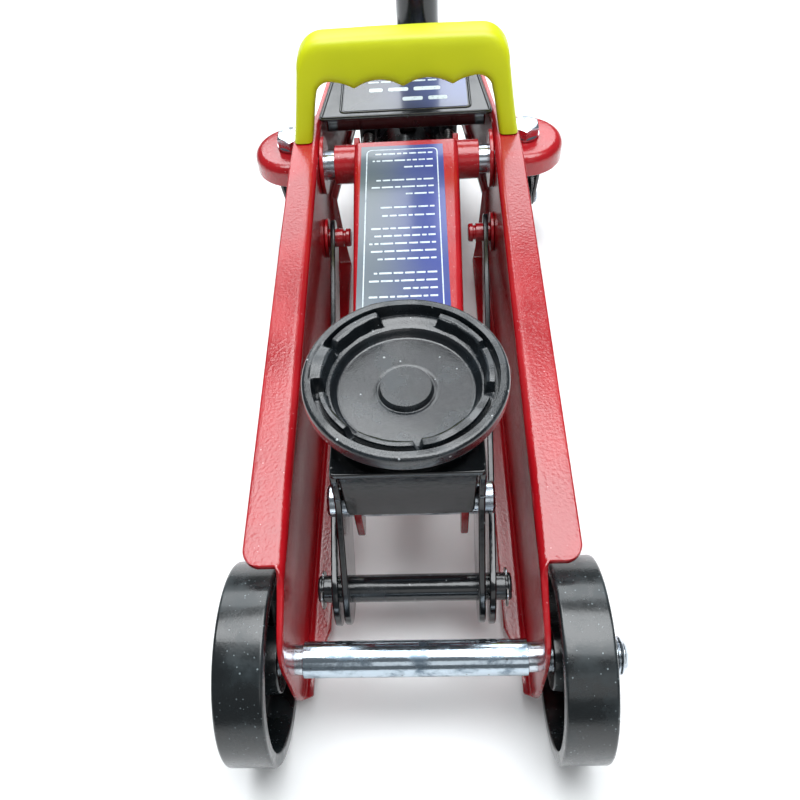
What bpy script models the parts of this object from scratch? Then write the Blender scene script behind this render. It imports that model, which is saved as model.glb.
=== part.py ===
"""Compact two-tonne hydraulic trolley jack.

Metres, +Z up. The lifting saddle is at the front (-Y) and the pump handle at the rear (+Y).
Places along the jack are first given from the front axle, and the root empty then moves
the whole jack so that the origin lies under the middle of its outline, on the floor.
"""

from math import atan, atan2, cos, degrees, pi, radians, sin, sqrt

import bmesh
import bpy
from mathutils import Matrix, Vector

# ------------------------------------------------------------------ clearances
GAP = 0.0003            # between pieces that touch or are fixed together
RUNNING = 0.0003        # radial, between a pin and its hole
SIDE_PLAY = 0.0010      # along a pin, between pieces that turn past each other

WELD_INSET = 0.0002     # a welded plate's edge stops this far inside its neighbour's face
EDGE = 0.0005           # chamfer on a small turned edge

# ------------------------------------------------------------------ front wheels and axle
WHEEL_R = 0.042
WHEEL_W = 0.020
WHEEL_RIM = 0.0055
WHEEL_WEB = 0.007
WHEEL_HUB_R = 0.014
AXLE_R = 0.00635
AXLE_HEAD_R = 0.011
AXLE_HEAD_T = 0.002
AXLE_END = 0.0120       # how far the plain end stands past the wheel
SPACER_R = 0.0076
SPACER_X = 0.0477       # half its length
NUT_T = 0.0100
NUT_R = 0.0080

# ------------------------------------------------------------------ side plates
PLATE_T = 0.003
WEB_X = 0.0545          # outer face of the web
WEB_TAPER = 0.12        # the rear ends close in by this much a metre
TAPER_Y = 0.303         # where they begin to
BEND_R = 0.004
LIP_BEND_R = 0.003
FRONT_Y = 0.0225        # front edge of the top flange
REAR_Y = 0.408
NOSE_REACH = 0.034      # the web's nose ahead of that edge
FLANGE_Z = 0.0862
CREST_Z = 0.108
FLANGE_X = WEB_X + 0.015
CREST_X = WEB_X + 0.012
LIP_X = WEB_X - 0.013   # inner edge of the bottom flange
LIP_Z = 0.010
REAR_BOTTOM_Z = 0.052
CREST_Y = 0.285
FLANGE_END_Y = 0.306

# ------------------------------------------------------------------ lift linkage
PIVOT_Y, PIVOT_Z = 0.284, 0.091         # main shaft
HEAD_Y, HEAD_Z = 0.061, 0.072           # pin between the arm and the saddle bracket
OFFSET_Y, OFFSET_Z = 0.027, 0.034       # from the link pin to that pin, the links' own offset
LIFT_DEG = 55.0
SHAFT_R = 0.0085
SHAFT_END = 0.003
SLEEVE_R = 0.0115
SLEEVE_X = WEB_X - 0.0115
DISC_R = 0.017
DISC_T = 0.0023
ARM_T = 0.0035
ARM_X_FRONT = 0.0256
ARM_X_REAR = 0.0312
ARM_TOP = 0.0135        # the arm's top face above the line between its pins
ARM_REAR_R = 0.0155
ARM_TOP_END = 0.002     # the top plate runs this far past the pivot, over the sleeve
BRACKET_PIN_R = 0.0074
BRACKET_PIN_OUT = 0.0055
LINK_T = 0.003
LINK_X_FRONT = 0.0352
LINK_X_REAR = WEB_X - 0.008
LINK_R_FRONT = 0.0165
LINK_R_REAR = 0.011
LINK_PIN_R = 0.0062
LINK_PIN_X = 0.044
STUD_R = 0.0056
STUD_BOSS_R = 0.012
STUD_BOSS_T = 0.0018
STUD_END_X = WEB_X - 0.0185

# ------------------------------------------------------------------ saddle and its bracket
BRACKET_X = 0.0315
BRACKET_T = 0.003
BRACKET_TOP_Z = 0.1135
BRACKET_FRONT_Y = 0.0475
BRACKET_REAR_Y = 0.108
BRACKET_FACE_Z = 0.080
BRACKET_END_R = 0.0160
SADDLE_Y = 0.084
SADDLE_R = 0.0425
SADDLE_TOP_Z = 0.133
SADDLE_RIM = 0.0045
SADDLE_FLOOR_Z = 0.1215
SADDLE_FLOOR_R = 0.029
SADDLE_BOSS_R = 0.0112
SADDLE_BOSS_H = 0.0025
SADDLE_FOOT_R = 0.0335
SADDLE_STEM_R = 0.009
SADDLE_STEM_Z = 0.1035
SADDLE_CLIP_T = 0.0015

# ------------------------------------------------------------------ crank, ram and power unit
CRANK_R = 0.045
CRANK_PIN_R = 0.006
CRANK_PIN_X = 0.033
LEVER_X = 0.0155        # inner face of each lever plate
LEVER_T = 0.0045
LEVER_END_R = 0.011
RAM_HEAD_X = 0.014
RAM_HEAD_L = 0.026
RAM_HEAD_H = 0.034
SLOT_PLAY = 0.0008
ROD_R = 0.012
ROD_REAR_Y = 0.383
CYLINDER_R = 0.017
TANK_R = 0.023
TANK_T = 0.003
TANK_FRONT_Y = 0.330
GLAND_R = 0.020
GLAND_T = 0.008
BLOCK_X = 0.0345
BLOCK_FRONT_Y = 0.372
BLOCK_REAR_Y = 0.407
BLOCK_BOTTOM_Z = 0.024
BLOCK_TOP_Z = 0.070
BORE_END_Y = 0.384
PLUG_R = 0.004
PLUG_HEAD_R = 0.0065
TRUNNION_Y, TRUNNION_Z = 0.379, 0.064
TRUNNION_R = 0.004
SPRING_R = 0.0046
SPRING_X = 0.0285

# ------------------------------------------------------------------ pump and handle
SOCKET_X = 0.009        # the socket stands to one side of the middle
YOKE_Y, YOKE_Z = 0.383, 0.093
YOKE_X = 0.013
YOKE_R = 0.0065
YOKE_NECK = 0.0105
YOKE_BOLT_R = 0.004
LUG_X = 0.018
LUG_T = 0.0045
LUG_R = 0.009
PUMP_DEG = 45.0
ROLLER_ARM = 0.016
ROLLER_R = 0.006
ROLLER_X = 0.0065
ROLLER_PIN_R = 0.003
ROLLER_CHEEK_R = 0.0065
PLUNGER_R = 0.005
PLUNGER_CAP_R = 0.0068
PLUNGER_CAP_T = 0.0035
PLUNGER_BOTTOM_Z = 0.050
PLUNGER_BORE_Z = 0.034
SOCKET_R = 0.0135
SOCKET_BORE_R = 0.0115
SOCKET_FLOOR_Z = 0.109
SOCKET_LOW_Z = 0.100
SOCKET_TOP_Z = 0.185
TUBE_R = 0.0111
TUBE_T = 0.0016
KEY_T = 0.0035
KEY_TAB_T = 0.003
KEY_TAB_H = 0.010
SPINDLE_R = 0.005
SPINDLE_HEAD_R = 0.0065
SPINDLE_BOTTOM_Z = 0.0625
SPINDLE_AHEAD = 0.0035
LOWER_TUBE_L = 0.240
UPPER_TUBE_L = 0.250
UPPER_TUBE_T = 0.0015
TUBE_OVERLAP = 0.045
BUTTON_R = 0.003
BUTTON_OUT = 0.003
GRIP_L = 0.110
GRIP_T = 0.003

# ------------------------------------------------------------------ cover and carrying handle
COVER_T = 0.0025
COVER_INSET = 0.0015
COVER_FRONT_Y = 0.303
COVER_REAR_Y = 0.406
COVER_LIP = 0.007
PANEL_X, PANEL_FRONT_Y, PANEL_REAR_Y = 0.038, 0.311, 0.352
PANEL_DEEP = 0.0007
NOTCH_X = 0.0175
CARRY_T = 0.018
CARRY_FRONT_Y = 0.281
CARRY_LEAN = 0.32
CARRY_TOP_Z = 0.1615
CARRY_FOOT_IN_X = WEB_X + 0.0007
CARRY_FOOT_OUT_X = WEB_X + 0.0115
CARRY_BAR_X = WEB_X + 0.006
CARRY_CORNER_R = 0.016
CARRY_CUSP_Z = 0.1345
CARRY_RECESS_Z = 0.139
CARRY_CUSP_STEP = 0.463 * CARRY_BAR_X
CARRY_SCREW_R = 0.0025
CARRY_SCREW_DEEP = 0.012

# ------------------------------------------------------------------ casters
CASTER_X, CASTER_Y = WEB_X + 0.0215, 0.328
EAR_R = 0.025
EAR_T = 0.003
EAR_TOP_Z = 0.0765
EAR_SKIRT = 0.0145
EAR_ROOT = 0.004        # how much wider the ear is where it meets the side plate
CASTER_WHEEL_R = 0.020
CASTER_WHEEL_W = 0.016
CASTER_TRAIL = 0.010
CASTER_AXLE_R = 0.003
FORK_T = 0.0025
FORK_TOP_Z = 0.0605
FORK_PLATE_R = 0.0165
FORK_ARM_R = 0.0065
KING_R = 0.005
KING_HEAD_AF = 0.0165
KING_HEAD_T = 0.007
KING_WASHER_T = 0.0015
KING_NUT_T = 0.006

# ------------------------------------------------------------------ worked out from these
LINK_PIN_Y, LINK_PIN_Z = HEAD_Y - OFFSET_Y, HEAD_Z - OFFSET_Z
LINK_Y, LINK_Z = PIVOT_Y - OFFSET_Y, PIVOT_Z - OFFSET_Z
WEB_IN_X = WEB_X - PLATE_T
WHEEL_IN_X = WEB_X + 0.0025
WHEEL_OUT_X = WHEEL_IN_X + WHEEL_W
HALF_LIFT = radians(LIFT_DEG) / 2
KING_NUT_AF = 2 * (CASTER_WHEEL_W / 2 + SIDE_PLAY - GAP) * cos(pi / 6) - 0.001     # turns between the fork arms
CRANK_Y = PIVOT_Y + CRANK_R * sin(HALF_LIFT)
CRANK_Z = PIVOT_Z - CRANK_R * cos(HALF_LIFT)
CRANK_DIP = CRANK_R * (1 - cos(HALF_LIFT))
RAM_Z = CRANK_Z - CRANK_DIP / 2
ROLLER_Y = YOKE_Y + ROLLER_ARM * cos(radians(PUMP_DEG) / 2)
ROLLER_Z = YOKE_Z + ROLLER_ARM * sin(radians(PUMP_DEG) / 2)
PLUNGER_TOP_Z = ROLLER_Z - ROLLER_R - GAP
COVER_Z = CREST_Z + GAP
REAR_END_Y = REAR_Y + PLATE_T * sin(atan(WEB_TAPER))     # the leaning web's outer corner
ORIGIN_Y = (REAR_END_Y - WHEEL_R) / 2
SMOOTH_DEG = 35.0
STEPS = 16              # sides of a small round piece
FINE = 28               # sides of a large one

ALONG_X = (0.0, pi / 2, 0.0)            # a turned piece's own Z axis laid along X
ALONG_Y = (-pi / 2, 0.0, 0.0)
FACING_X = (pi / 2, 0.0, pi / 2)        # an outline drawn in (y, z), thick along X


# ------------------------------------------------------------------ scene and bodies
def clear_scene():
    for obj in list(bpy.data.objects):
        bpy.data.objects.remove(obj, do_unlink=True)


def collection(name):
    made = bpy.data.collections.new(name)
    bpy.context.scene.collection.children.link(made)
    return made


clear_scene()
JACK = collection("car_jack")
CUTTERS = collection("cutters")
BODY_AT = {}


def body(name, at, parent=None):
    """An empty on a joint's axis. `at` is measured from the front axle."""
    empty = bpy.data.objects.new(name, None)
    empty.empty_display_size = 0.02
    JACK.objects.link(empty)
    BODY_AT[empty] = Vector(at)
    if parent is None:
        empty.location = (0.0, -ORIGIN_Y, 0.0)
    else:
        empty.parent = parent
        empty.location = Vector(at) - BODY_AT[parent]
    return empty


def put(obj, on, at=(0.0, 0.0, 0.0), turn=(0.0, 0.0, 0.0)):
    """Places a piece on a body, `at` measured from the front axle."""
    obj.parent = on
    obj.location = Vector(at) - BODY_AT[on]
    obj.rotation_euler = turn
    return obj


def finish(obj, look):
    """Gives a piece its own material and smooth round faces."""
    colour, roughness, metallic = look
    made = bpy.data.materials.new(obj.name)
    made.use_nodes = True
    shader = made.node_tree.nodes["Principled BSDF"]
    shader.inputs["Base Color"].default_value = (*colour, 1.0)
    shader.inputs["Roughness"].default_value = roughness
    shader.inputs["Metallic"].default_value = metallic
    obj.data.materials.append(made)
    obj.data.shade_smooth()
    obj.data.set_sharp_from_angle(angle=radians(SMOOTH_DEG))
    return obj


RED_PAINT = ((0.58, 0.012, 0.018), 0.28, 0.0)
BLACK_PAINT = ((0.012, 0.012, 0.014), 0.25, 0.0)
BLACK_CAST = ((0.016, 0.016, 0.018), 0.38, 0.0)
BLACK_PLASTIC = ((0.02, 0.02, 0.022), 0.35, 0.0)
YELLOW_PLASTIC = ((0.62, 0.76, 0.0), 0.42, 0.0)
ZINC = ((0.62, 0.66, 0.70), 0.30, 1.0)
STEEL = ((0.50, 0.50, 0.50), 0.25, 1.0)
RUBBER = ((0.03, 0.03, 0.03), 0.8, 0.0)


# ------------------------------------------------------------------ shapes
def link_in(name, mesh, group=None):
    obj = bpy.data.objects.new(name, mesh)
    (group or JACK).objects.link(obj)
    return obj


def arc(y, z, radius, start, end, count):
    """Points along an arc, from one angle to the other in degrees."""
    angles = [radians(start + (end - start) * i / count) for i in range(count + 1)]
    return [(y + radius * cos(a), z + radius * sin(a)) for a in angles]


def bar_outline(first, first_r, second, second_r, count=8):
    """The outline of a bar with a round end at each of two centres, joined by tangents."""
    run = Vector(second) - Vector(first)
    heading = degrees(atan2(run.y, run.x))
    spread = degrees(atan2(first_r - second_r, sqrt(run.length_squared - (first_r - second_r) ** 2)))
    side = 90.0 - spread
    return (arc(*first, first_r, heading + side, heading + 360 - side, count)
            + arc(*second, second_r, heading - side, heading + side, count))


def plate(name, outline, thickness, group=None):
    """A flat outline in its own XY plane, half its thickness each way, as a closed mesh."""
    curve = bpy.data.curves.new(name, "CURVE")
    curve.dimensions = "2D"
    curve.fill_mode = "BOTH"
    curve.extrude = thickness / 2
    spline = curve.splines.new("POLY")
    spline.points.add(len(outline) - 1)
    for point, (x, y) in zip(spline.points, outline):
        point.co = (x, y, 0.0, 1.0)
    spline.use_cyclic_u = True
    return as_mesh(name, curve, group)


def as_mesh(name, curve, group=None):
    """A curve's evaluated surface with its caps welded on."""
    drawn = bpy.data.objects.new(name + "_curve", curve)
    CUTTERS.objects.link(drawn)
    graph = bpy.context.evaluated_depsgraph_get()
    graph.update()
    mesh = bpy.data.meshes.new_from_object(drawn.evaluated_get(graph))
    bpy.data.objects.remove(drawn)
    edit = bmesh.new()
    edit.from_mesh(mesh)
    bmesh.ops.remove_doubles(edit, verts=edit.verts, dist=0.00001)
    bmesh.ops.recalc_face_normals(edit, faces=edit.faces)
    edit.to_mesh(mesh)
    edit.free()
    return link_in(name, mesh, group)


def turned(name, profile, ring=False, steps=STEPS, group=None):
    """A turned piece about its own Z. The profile is (radius, height), down the outer side;
    a ring's profile carries on up its bore and closes."""
    mesh = bpy.data.meshes.new(name)
    edges = [(i, i + 1) for i in range(len(profile) - 1)]
    if ring:
        edges.append((len(profile) - 1, 0))
    mesh.from_pydata([(radius, 0.0, height) for radius, height in profile], edges, [])
    obj = link_in(name, mesh, group)
    screw = obj.modifiers.new("turn", "SCREW")
    screw.steps = screw.render_steps = steps
    screw.use_merge_vertices = True
    screw.merge_threshold = 0.00001
    return obj


def rod(name, radius, low, high, chamfer=EDGE, steps=STEPS, group=None):
    """A plain pin with chamfered ends, from one height to the other."""
    return turned(name, [(0.0, high), (radius - chamfer, high), (radius, high - chamfer),
                         (radius, low + chamfer), (radius - chamfer, low), (0.0, low)],
                  steps=steps, group=group)


def tube(name, outer, inner, low, high, steps=STEPS, group=None):
    return turned(name, [(outer, high), (outer, low), (inner, low), (inner, high)],
                  ring=True, steps=steps, group=group)


def box(name, low, high, group=None):
    """A box from one corner to the other."""
    mesh = bpy.data.meshes.new(name)
    edit = bmesh.new()
    bmesh.ops.create_cube(edit, size=1.0)
    low, high = Vector(low), Vector(high)
    bmesh.ops.scale(edit, vec=high - low, verts=edit.verts)
    bmesh.ops.translate(edit, vec=(low + high) / 2, verts=edit.verts)
    edit.to_mesh(mesh)
    edit.free()
    return link_in(name, mesh, group)


def hexagon(name, across_flats, low, high, group=None):
    mesh = bpy.data.meshes.new(name)
    edit = bmesh.new()
    radius = across_flats / sqrt(3)
    bmesh.ops.create_cone(edit, cap_ends=True, segments=6, radius1=radius, radius2=radius,
                          depth=high - low)
    bmesh.ops.translate(edit, vec=(0.0, 0.0, (low + high) / 2), verts=edit.verts)
    edit.to_mesh(mesh)
    edit.free()
    return link_in(name, mesh, group)


def combine(obj, other, operation):
    """Adds a helper to a piece, or cuts it away."""
    for group in list(other.users_collection):
        group.objects.unlink(other)
    CUTTERS.objects.link(other)
    other.hide_render = True
    other.display_type = "WIRE"
    boolean = obj.modifiers.new(other.name, "BOOLEAN")
    boolean.operation = operation
    boolean.solver = "EXACT"
    boolean.object = other
    return obj


def cut(obj, other):
    return combine(obj, other, "DIFFERENCE")


def join(obj, other):
    return combine(obj, other, "UNION")


def cylinder(name, radius, low, high, steps=STEPS, group=None):
    mesh = bpy.data.meshes.new(name)
    edit = bmesh.new()
    bmesh.ops.create_cone(edit, cap_ends=True, segments=steps, radius1=radius, radius2=radius,
                          depth=high - low)
    bmesh.ops.translate(edit, vec=(0.0, 0.0, (low + high) / 2), verts=edit.verts)
    edit.to_mesh(mesh)
    edit.free()
    return link_in(name, mesh, group)


def drill(obj, on, at, radius, half_length, turn=(0.0, 0.0, 0.0), steps=STEPS):
    """A round hole through a piece, centred at a point."""
    name = obj.name + "_hole_" + str(len(obj.modifiers))
    cutter = cylinder(name, radius, -half_length, half_length, steps, CUTTERS)
    return cut(obj, put(cutter, on, at, turn))


def drill_across(obj, on, x, holes, half_length):
    """Several holes along X through a piece, in one cut. Each hole is (y, z, radius)."""
    mesh = bpy.data.meshes.new(obj.name + "_holes")
    edit = bmesh.new()
    for y, z, radius in holes:
        at = Matrix.Translation((x, y, z)) @ Matrix.Rotation(pi / 2, 4, "Y")
        bmesh.ops.create_cone(edit, cap_ends=True, segments=STEPS, radius1=radius, radius2=radius,
                              depth=2 * half_length, matrix=at)
    edit.to_mesh(mesh)
    edit.free()
    return cut(obj, put(link_in(mesh.name, mesh, CUTTERS), on))


def sheet(name, rows, thickness, flip=False):
    """A plate pressed from sheet: a grid of points, with its thickness added behind it."""
    wide = len(rows[0])
    faces = []
    for i in range(len(rows) - 1):
        for j in range(wide - 1):
            corner = i * wide + j
            face = (corner, corner + 1, corner + wide + 1, corner + wide)
            faces.append(face[::-1] if flip else face)
    mesh = bpy.data.meshes.new(name)
    mesh.from_pydata([point for row in rows for point in row], [], faces)
    obj = link_in(name, mesh)
    solid = obj.modifiers.new("thickness", "SOLIDIFY")
    solid.thickness = thickness
    solid.offset = -1.0
    solid.use_even_offset = True
    return obj


# ------------------------------------------------------------------ side plates
def web_x(y):
    """Outer face of the web, which closes in along the rear end."""
    return WEB_X - WEB_TAPER * max(0.0, y - TAPER_Y)


# The web's nose: share of the way down the web, share of the nose's reach.
NOSE = ((0.0, 0.10), (0.05, 0.45), (0.09, 0.76), (0.15, 0.93), (0.28, 1.0), (0.84, 1.0), (1.0, 0.90))
# Share of the nose left in the first stations behind the front edge.
NOSE_FADE = (1.0, 0.66, 0.25, 0.0)


def plate_stations():
    """(y, top height, top flange edge, bottom height, bottom lip edge) along a side plate."""
    rolled = BEND_R - PLATE_T + 0.0006
    small_lip = WEB_IN_X - LIP_BEND_R - 0.0005
    return (
        (FRONT_Y, FLANGE_Z, FLANGE_X - 0.008, LIP_Z, small_lip),
        (FRONT_Y + 0.0023, FLANGE_Z, FLANGE_X - 0.0023, LIP_Z, small_lip),
        (FRONT_Y + 0.008, FLANGE_Z + 0.0006, FLANGE_X, LIP_Z, LIP_X),
        (FRONT_Y + 0.040, FLANGE_Z + 0.0035, FLANGE_X - 0.0003, LIP_Z, LIP_X),
        (CREST_Y - 0.080, CREST_Z - 0.0060, CREST_X + 0.0015, LIP_Z, LIP_X),
        (CREST_Y - 0.023, CREST_Z - 0.0015, CREST_X + 0.0009, LIP_Z, LIP_X),
        (CREST_Y, CREST_Z, CREST_X, LIP_Z, LIP_X),
        (CREST_Y + 0.004, CREST_Z, CREST_X - 0.0006, LIP_Z + 0.004, LIP_X + 0.003),
        (TAPER_Y, CREST_Z, CREST_X - 0.0025, REAR_BOTTOM_Z, small_lip),
        (FLANGE_END_Y + 0.001, CREST_Z, CREST_X - 0.0045, REAR_BOTTOM_Z, small_lip),
        (FLANGE_END_Y + 0.007, CREST_Z, web_x(FLANGE_END_Y + 0.007) + rolled, REAR_BOTTOM_Z,
         web_x(FLANGE_END_Y + 0.007) - WEB_X + small_lip),
        (REAR_Y, CREST_Z, web_x(REAR_Y) + rolled, REAR_BOTTOM_Z, web_x(REAR_Y) - WEB_X + small_lip),
    )


def plate_row(index, side):
    """One station's section: top flange, bend, web, bend and bottom flange."""
    y, top, flange, bottom, lip = plate_stations()[index]
    inner = web_x(y) - PLATE_T
    fade = NOSE_FADE[index] if index < len(NOSE_FADE) else 0.0
    corner = BEND_R * (1 - cos(pi / 4))
    inside = LIP_BEND_R * (1 - cos(pi / 4))
    web_top = top - BEND_R
    web_low = bottom + LIP_BEND_R
    row = [(flange, y, top), (inner + BEND_R, y, top), (inner + corner, y, top - corner)]
    for down, reach in NOSE:
        row.append((inner, y - fade * reach * NOSE_REACH, web_top + (web_low - web_top) * down))
    nose_y = row[-1][1]
    row += [(inner - inside, nose_y, bottom + inside), (inner - LIP_BEND_R, nose_y, bottom),
            (lip, nose_y, bottom)]
    return [(side * x, along, height) for x, along, height in row]


def side_plate(frame, name, side):
    rows = [plate_row(i, side) for i in range(len(plate_stations()))]
    obj = sheet(name, rows, PLATE_T, flip=side > 0)
    put(obj, frame)
    holes = [(0.0, WHEEL_R, AXLE_R + RUNNING), (PIVOT_Y, PIVOT_Z, SHAFT_R + RUNNING),
             (LINK_Y, LINK_Z, STUD_R + RUNNING), (TRUNNION_Y, TRUNNION_Z, TRUNNION_R + RUNNING)]
    drill_across(obj, frame, side * (WEB_X - WEB_TAPER * (REAR_Y - TAPER_Y) / 2), holes, 0.015)
    at = (side * carry_screw_x(), carry_screw_y(), CREST_Z)
    drill(obj, frame, at, CARRY_SCREW_R + RUNNING, 0.012, steps=12)
    return finish(obj, RED_PAINT)


# ------------------------------------------------------------------ front axle
def front_axle(frame):
    """A through axle: a low domed head at the left, a plain end with a push nut at the right."""
    spacer = tube("axle_spacer_tube", SPACER_R, AXLE_R + GAP, -SPACER_X, SPACER_X)
    finish(put(spacer, frame, (0.0, 0.0, WHEEL_R), ALONG_X), ZINC)
    end = WHEEL_OUT_X + AXLE_END
    head = -WHEEL_OUT_X - GAP
    axle = turned("front_axle", [
        (0.0, end), (AXLE_R - 0.0015, end), (AXLE_R, end - 0.0015), (AXLE_R, head),
        (AXLE_HEAD_R, head), (AXLE_HEAD_R, head - AXLE_HEAD_T / 2),
        (AXLE_HEAD_R - 0.002, head - AXLE_HEAD_T), (0.0, head - AXLE_HEAD_T)])
    finish(put(axle, frame, (0.0, 0.0, WHEEL_R), ALONG_X), ZINC)
    nut = tube("axle_push_nut", NUT_R, AXLE_R + GAP, WHEEL_OUT_X + GAP, WHEEL_OUT_X + GAP + NUT_T)
    finish(put(nut, frame, (0.0, 0.0, WHEEL_R), ALONG_X), ZINC)


def front_wheel(name, frame, side):
    """A cast wheel: a rim, a thin web towards its outer face and a hub."""
    wheel = body(name + "_body", (side * (WHEEL_IN_X + WHEEL_W / 2), 0.0, WHEEL_R), frame)
    half = WHEEL_W / 2
    hollow = half - WHEEL_WEB
    bore = AXLE_R + RUNNING
    inner_r = WHEEL_R - WHEEL_RIM
    obj = turned(name, [
        (WHEEL_R - 0.0012, half), (WHEEL_R, half - 0.0012), (WHEEL_R, 0.0012 - half),
        (WHEEL_R - 0.0012, -half), (inner_r, -half), (inner_r - 0.001, hollow - 0.001),
        (WHEEL_HUB_R + 0.001, hollow), (WHEEL_HUB_R, -half), (bore, -half), (bore, half),
        (WHEEL_HUB_R, half), (WHEEL_HUB_R + 0.002, half - 0.002),
        (inner_r - 0.002, half - 0.002), (inner_r, half)], ring=True, steps=FINE)
    turn = ALONG_X if side > 0 else (0.0, -pi / 2, 0.0)
    finish(put(obj, wheel, BODY_AT[wheel], turn), BLACK_PLASTIC)


# ------------------------------------------------------------------ main pivot and link studs
def main_pivot(frame):
    end = WEB_X + SHAFT_END
    shaft = rod("main_shaft", SHAFT_R, -end, end, 0.001)
    finish(put(shaft, frame, (0.0, PIVOT_Y, PIVOT_Z), ALONG_X), ZINC)
    for name, side in (("pivot_disc_left", -1), ("pivot_disc_right", 1)):
        outer = side * (WEB_IN_X - GAP)
        inner = side * (WEB_IN_X - GAP - DISC_T)
        disc = tube(name, DISC_R, SHAFT_R + GAP, min(outer, inner), max(outer, inner))
        finish(put(disc, frame, (0.0, PIVOT_Y, PIVOT_Z), ALONG_X), RED_PAINT)


def link_stud(frame, name, side):
    """A stepped stud riveted through the web. Its boss stands against the web's inner face."""
    boss = WEB_IN_X - GAP
    shoulder = boss - STUD_BOSS_T
    obj = turned(name, [
        (0.0, WEB_X), (STUD_R - 0.0005, WEB_X), (STUD_R, WEB_X - 0.0005), (STUD_R, boss),
        (STUD_BOSS_R, boss), (STUD_BOSS_R, shoulder), (STUD_R, shoulder),
        (STUD_R, STUD_END_X + 0.0046), (STUD_R - 0.0012, STUD_END_X + 0.0046),
        (STUD_R - 0.0012, STUD_END_X + 0.003), (STUD_R, STUD_END_X + 0.003),
        (STUD_R, STUD_END_X + 0.0008), (STUD_R - 0.0008, STUD_END_X), (0.0, STUD_END_X)])
    turn = ALONG_X if side > 0 else (0.0, -pi / 2, 0.0)
    finish(put(obj, frame, (0.0, LINK_Y, LINK_Z), turn), RED_PAINT)


# ------------------------------------------------------------------ lift arm
def arm_half_width(y):
    share = (y - HEAD_Y) / (PIVOT_Y - HEAD_Y)
    return ARM_X_FRONT + (ARM_X_REAR - ARM_X_FRONT) * share


def arm_line(y, above):
    """A point beside the line between the arm's two pins."""
    return (y, HEAD_Z + (y - HEAD_Y) * (PIVOT_Z - HEAD_Z) / (PIVOT_Y - HEAD_Y) + above)


def arm_cheek_outline():
    """Side view: round at the main shaft, a lug at the front, and a straight top."""
    heel = arc(PIVOT_Y, PIVOT_Z, ARM_REAR_R, -75.0, 50.0, 8)
    nose = [(HEAD_Y - 0.0085, HEAD_Z + 0.007), (HEAD_Y - 0.0090, HEAD_Z - 0.004),
            (HEAD_Y - 0.0070, HEAD_Z - 0.022), (HEAD_Y - 0.0010, HEAD_Z - 0.0235),
            (HEAD_Y + 0.0150, HEAD_Z - 0.014)]
    return [arm_line(PIVOT_Y + ARM_TOP_END, ARM_TOP), arm_line(HEAD_Y - 0.004, ARM_TOP)] + nose + [
        arm_line(PIVOT_Y - 0.110, -0.022), arm_line(PIVOT_Y - 0.030, -0.018)] + heel


def taper_sides(obj, side):
    """Leans a cheek inwards towards the front, about its own thickness direction."""
    for vertex in obj.data.vertices:
        vertex.co.z += side * (arm_half_width(vertex.co.x) - ARM_X_REAR)


def lift_arm(arm):
    """An inverted channel: two cheeks, a top plate and a cross tie at the front."""
    outline = arm_cheek_outline()
    middle = ARM_X_REAR - ARM_T / 2
    obj = plate("lift_arm", outline, ARM_T)
    taper_sides(obj, 1)
    put(obj, arm, (middle, 0.0, 0.0), FACING_X)
    other = plate("arm_cheek_left", outline, ARM_T, CUTTERS)
    taper_sides(other, -1)
    join(obj, put(other, arm, (-middle, 0.0, 0.0), FACING_X))
    front_y, rear_y = HEAD_Y - 0.002, PIVOT_Y + ARM_TOP_END
    inset = WELD_INSET
    top = plate("arm_top", [(arm_half_width(front_y) - inset, front_y),
                            (arm_half_width(rear_y) - inset, rear_y),
                            (inset - arm_half_width(rear_y), rear_y),
                            (inset - arm_half_width(front_y), front_y)], ARM_T, CUTTERS)
    lift_to_line(top, ARM_TOP - ARM_T / 2 - inset)
    join(obj, put(top, arm))
    tie_y = HEAD_Y + 0.003
    tie = box("arm_tie", (-ARM_X_FRONT + 0.001, tie_y, HEAD_Z - 0.015),
              (ARM_X_FRONT - 0.001, tie_y + 0.014, HEAD_Z - 0.0115), CUTTERS)
    join(obj, put(tie, arm))
    drill(obj, arm, (0.0, PIVOT_Y, PIVOT_Z), SLEEVE_R + GAP, 0.05, ALONG_X)
    drill(obj, arm, (0.0, HEAD_Y, HEAD_Z), BRACKET_PIN_R + RUNNING, 0.05, ALONG_X)
    finish(obj, RED_PAINT)


def lift_to_line(obj, above):
    """Shears a level plate up so that it runs along the arm's pin line."""
    for vertex in obj.data.vertices:
        vertex.co.z += arm_line(vertex.co.y, above)[1]


def arm_crank(arm):
    """The arm's pivot sleeve, with the two lever plates that the ram pushes welded to it."""
    sleeve = cylinder("arm_crank", SLEEVE_R, -SLEEVE_X, SLEEVE_X)
    put(sleeve, arm, (0.0, PIVOT_Y, PIVOT_Z), ALONG_X)
    outline = bar_outline((PIVOT_Y, PIVOT_Z), SLEEVE_R - 0.001, (CRANK_Y, CRANK_Z), LEVER_END_R)
    for side in (-1, 1):
        lever = plate("lever_" + str(side), outline, LEVER_T, CUTTERS)
        put(lever, arm, (side * (LEVER_X + LEVER_T / 2), 0.0, 0.0), FACING_X)
        join(sleeve, lever)
    drill(sleeve, arm, (0.0, PIVOT_Y, PIVOT_Z), SHAFT_R + RUNNING, 0.06, ALONG_X)
    drill(sleeve, arm, (0.0, CRANK_Y, CRANK_Z), CRANK_PIN_R + GAP, 0.06, ALONG_X)
    finish(sleeve, RED_PAINT)
    pin = rod("crank_pin", CRANK_PIN_R, -CRANK_PIN_X, CRANK_PIN_X)
    finish(put(pin, arm, (0.0, CRANK_Y, CRANK_Z), ALONG_X), ZINC)


def bracket_pin(arm):
    end = BRACKET_X + BRACKET_PIN_OUT
    pin = rod("bracket_pin", BRACKET_PIN_R, -end, end, 0.001)
    finish(put(pin, arm, (0.0, HEAD_Y, HEAD_Z), ALONG_X), ZINC)


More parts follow.
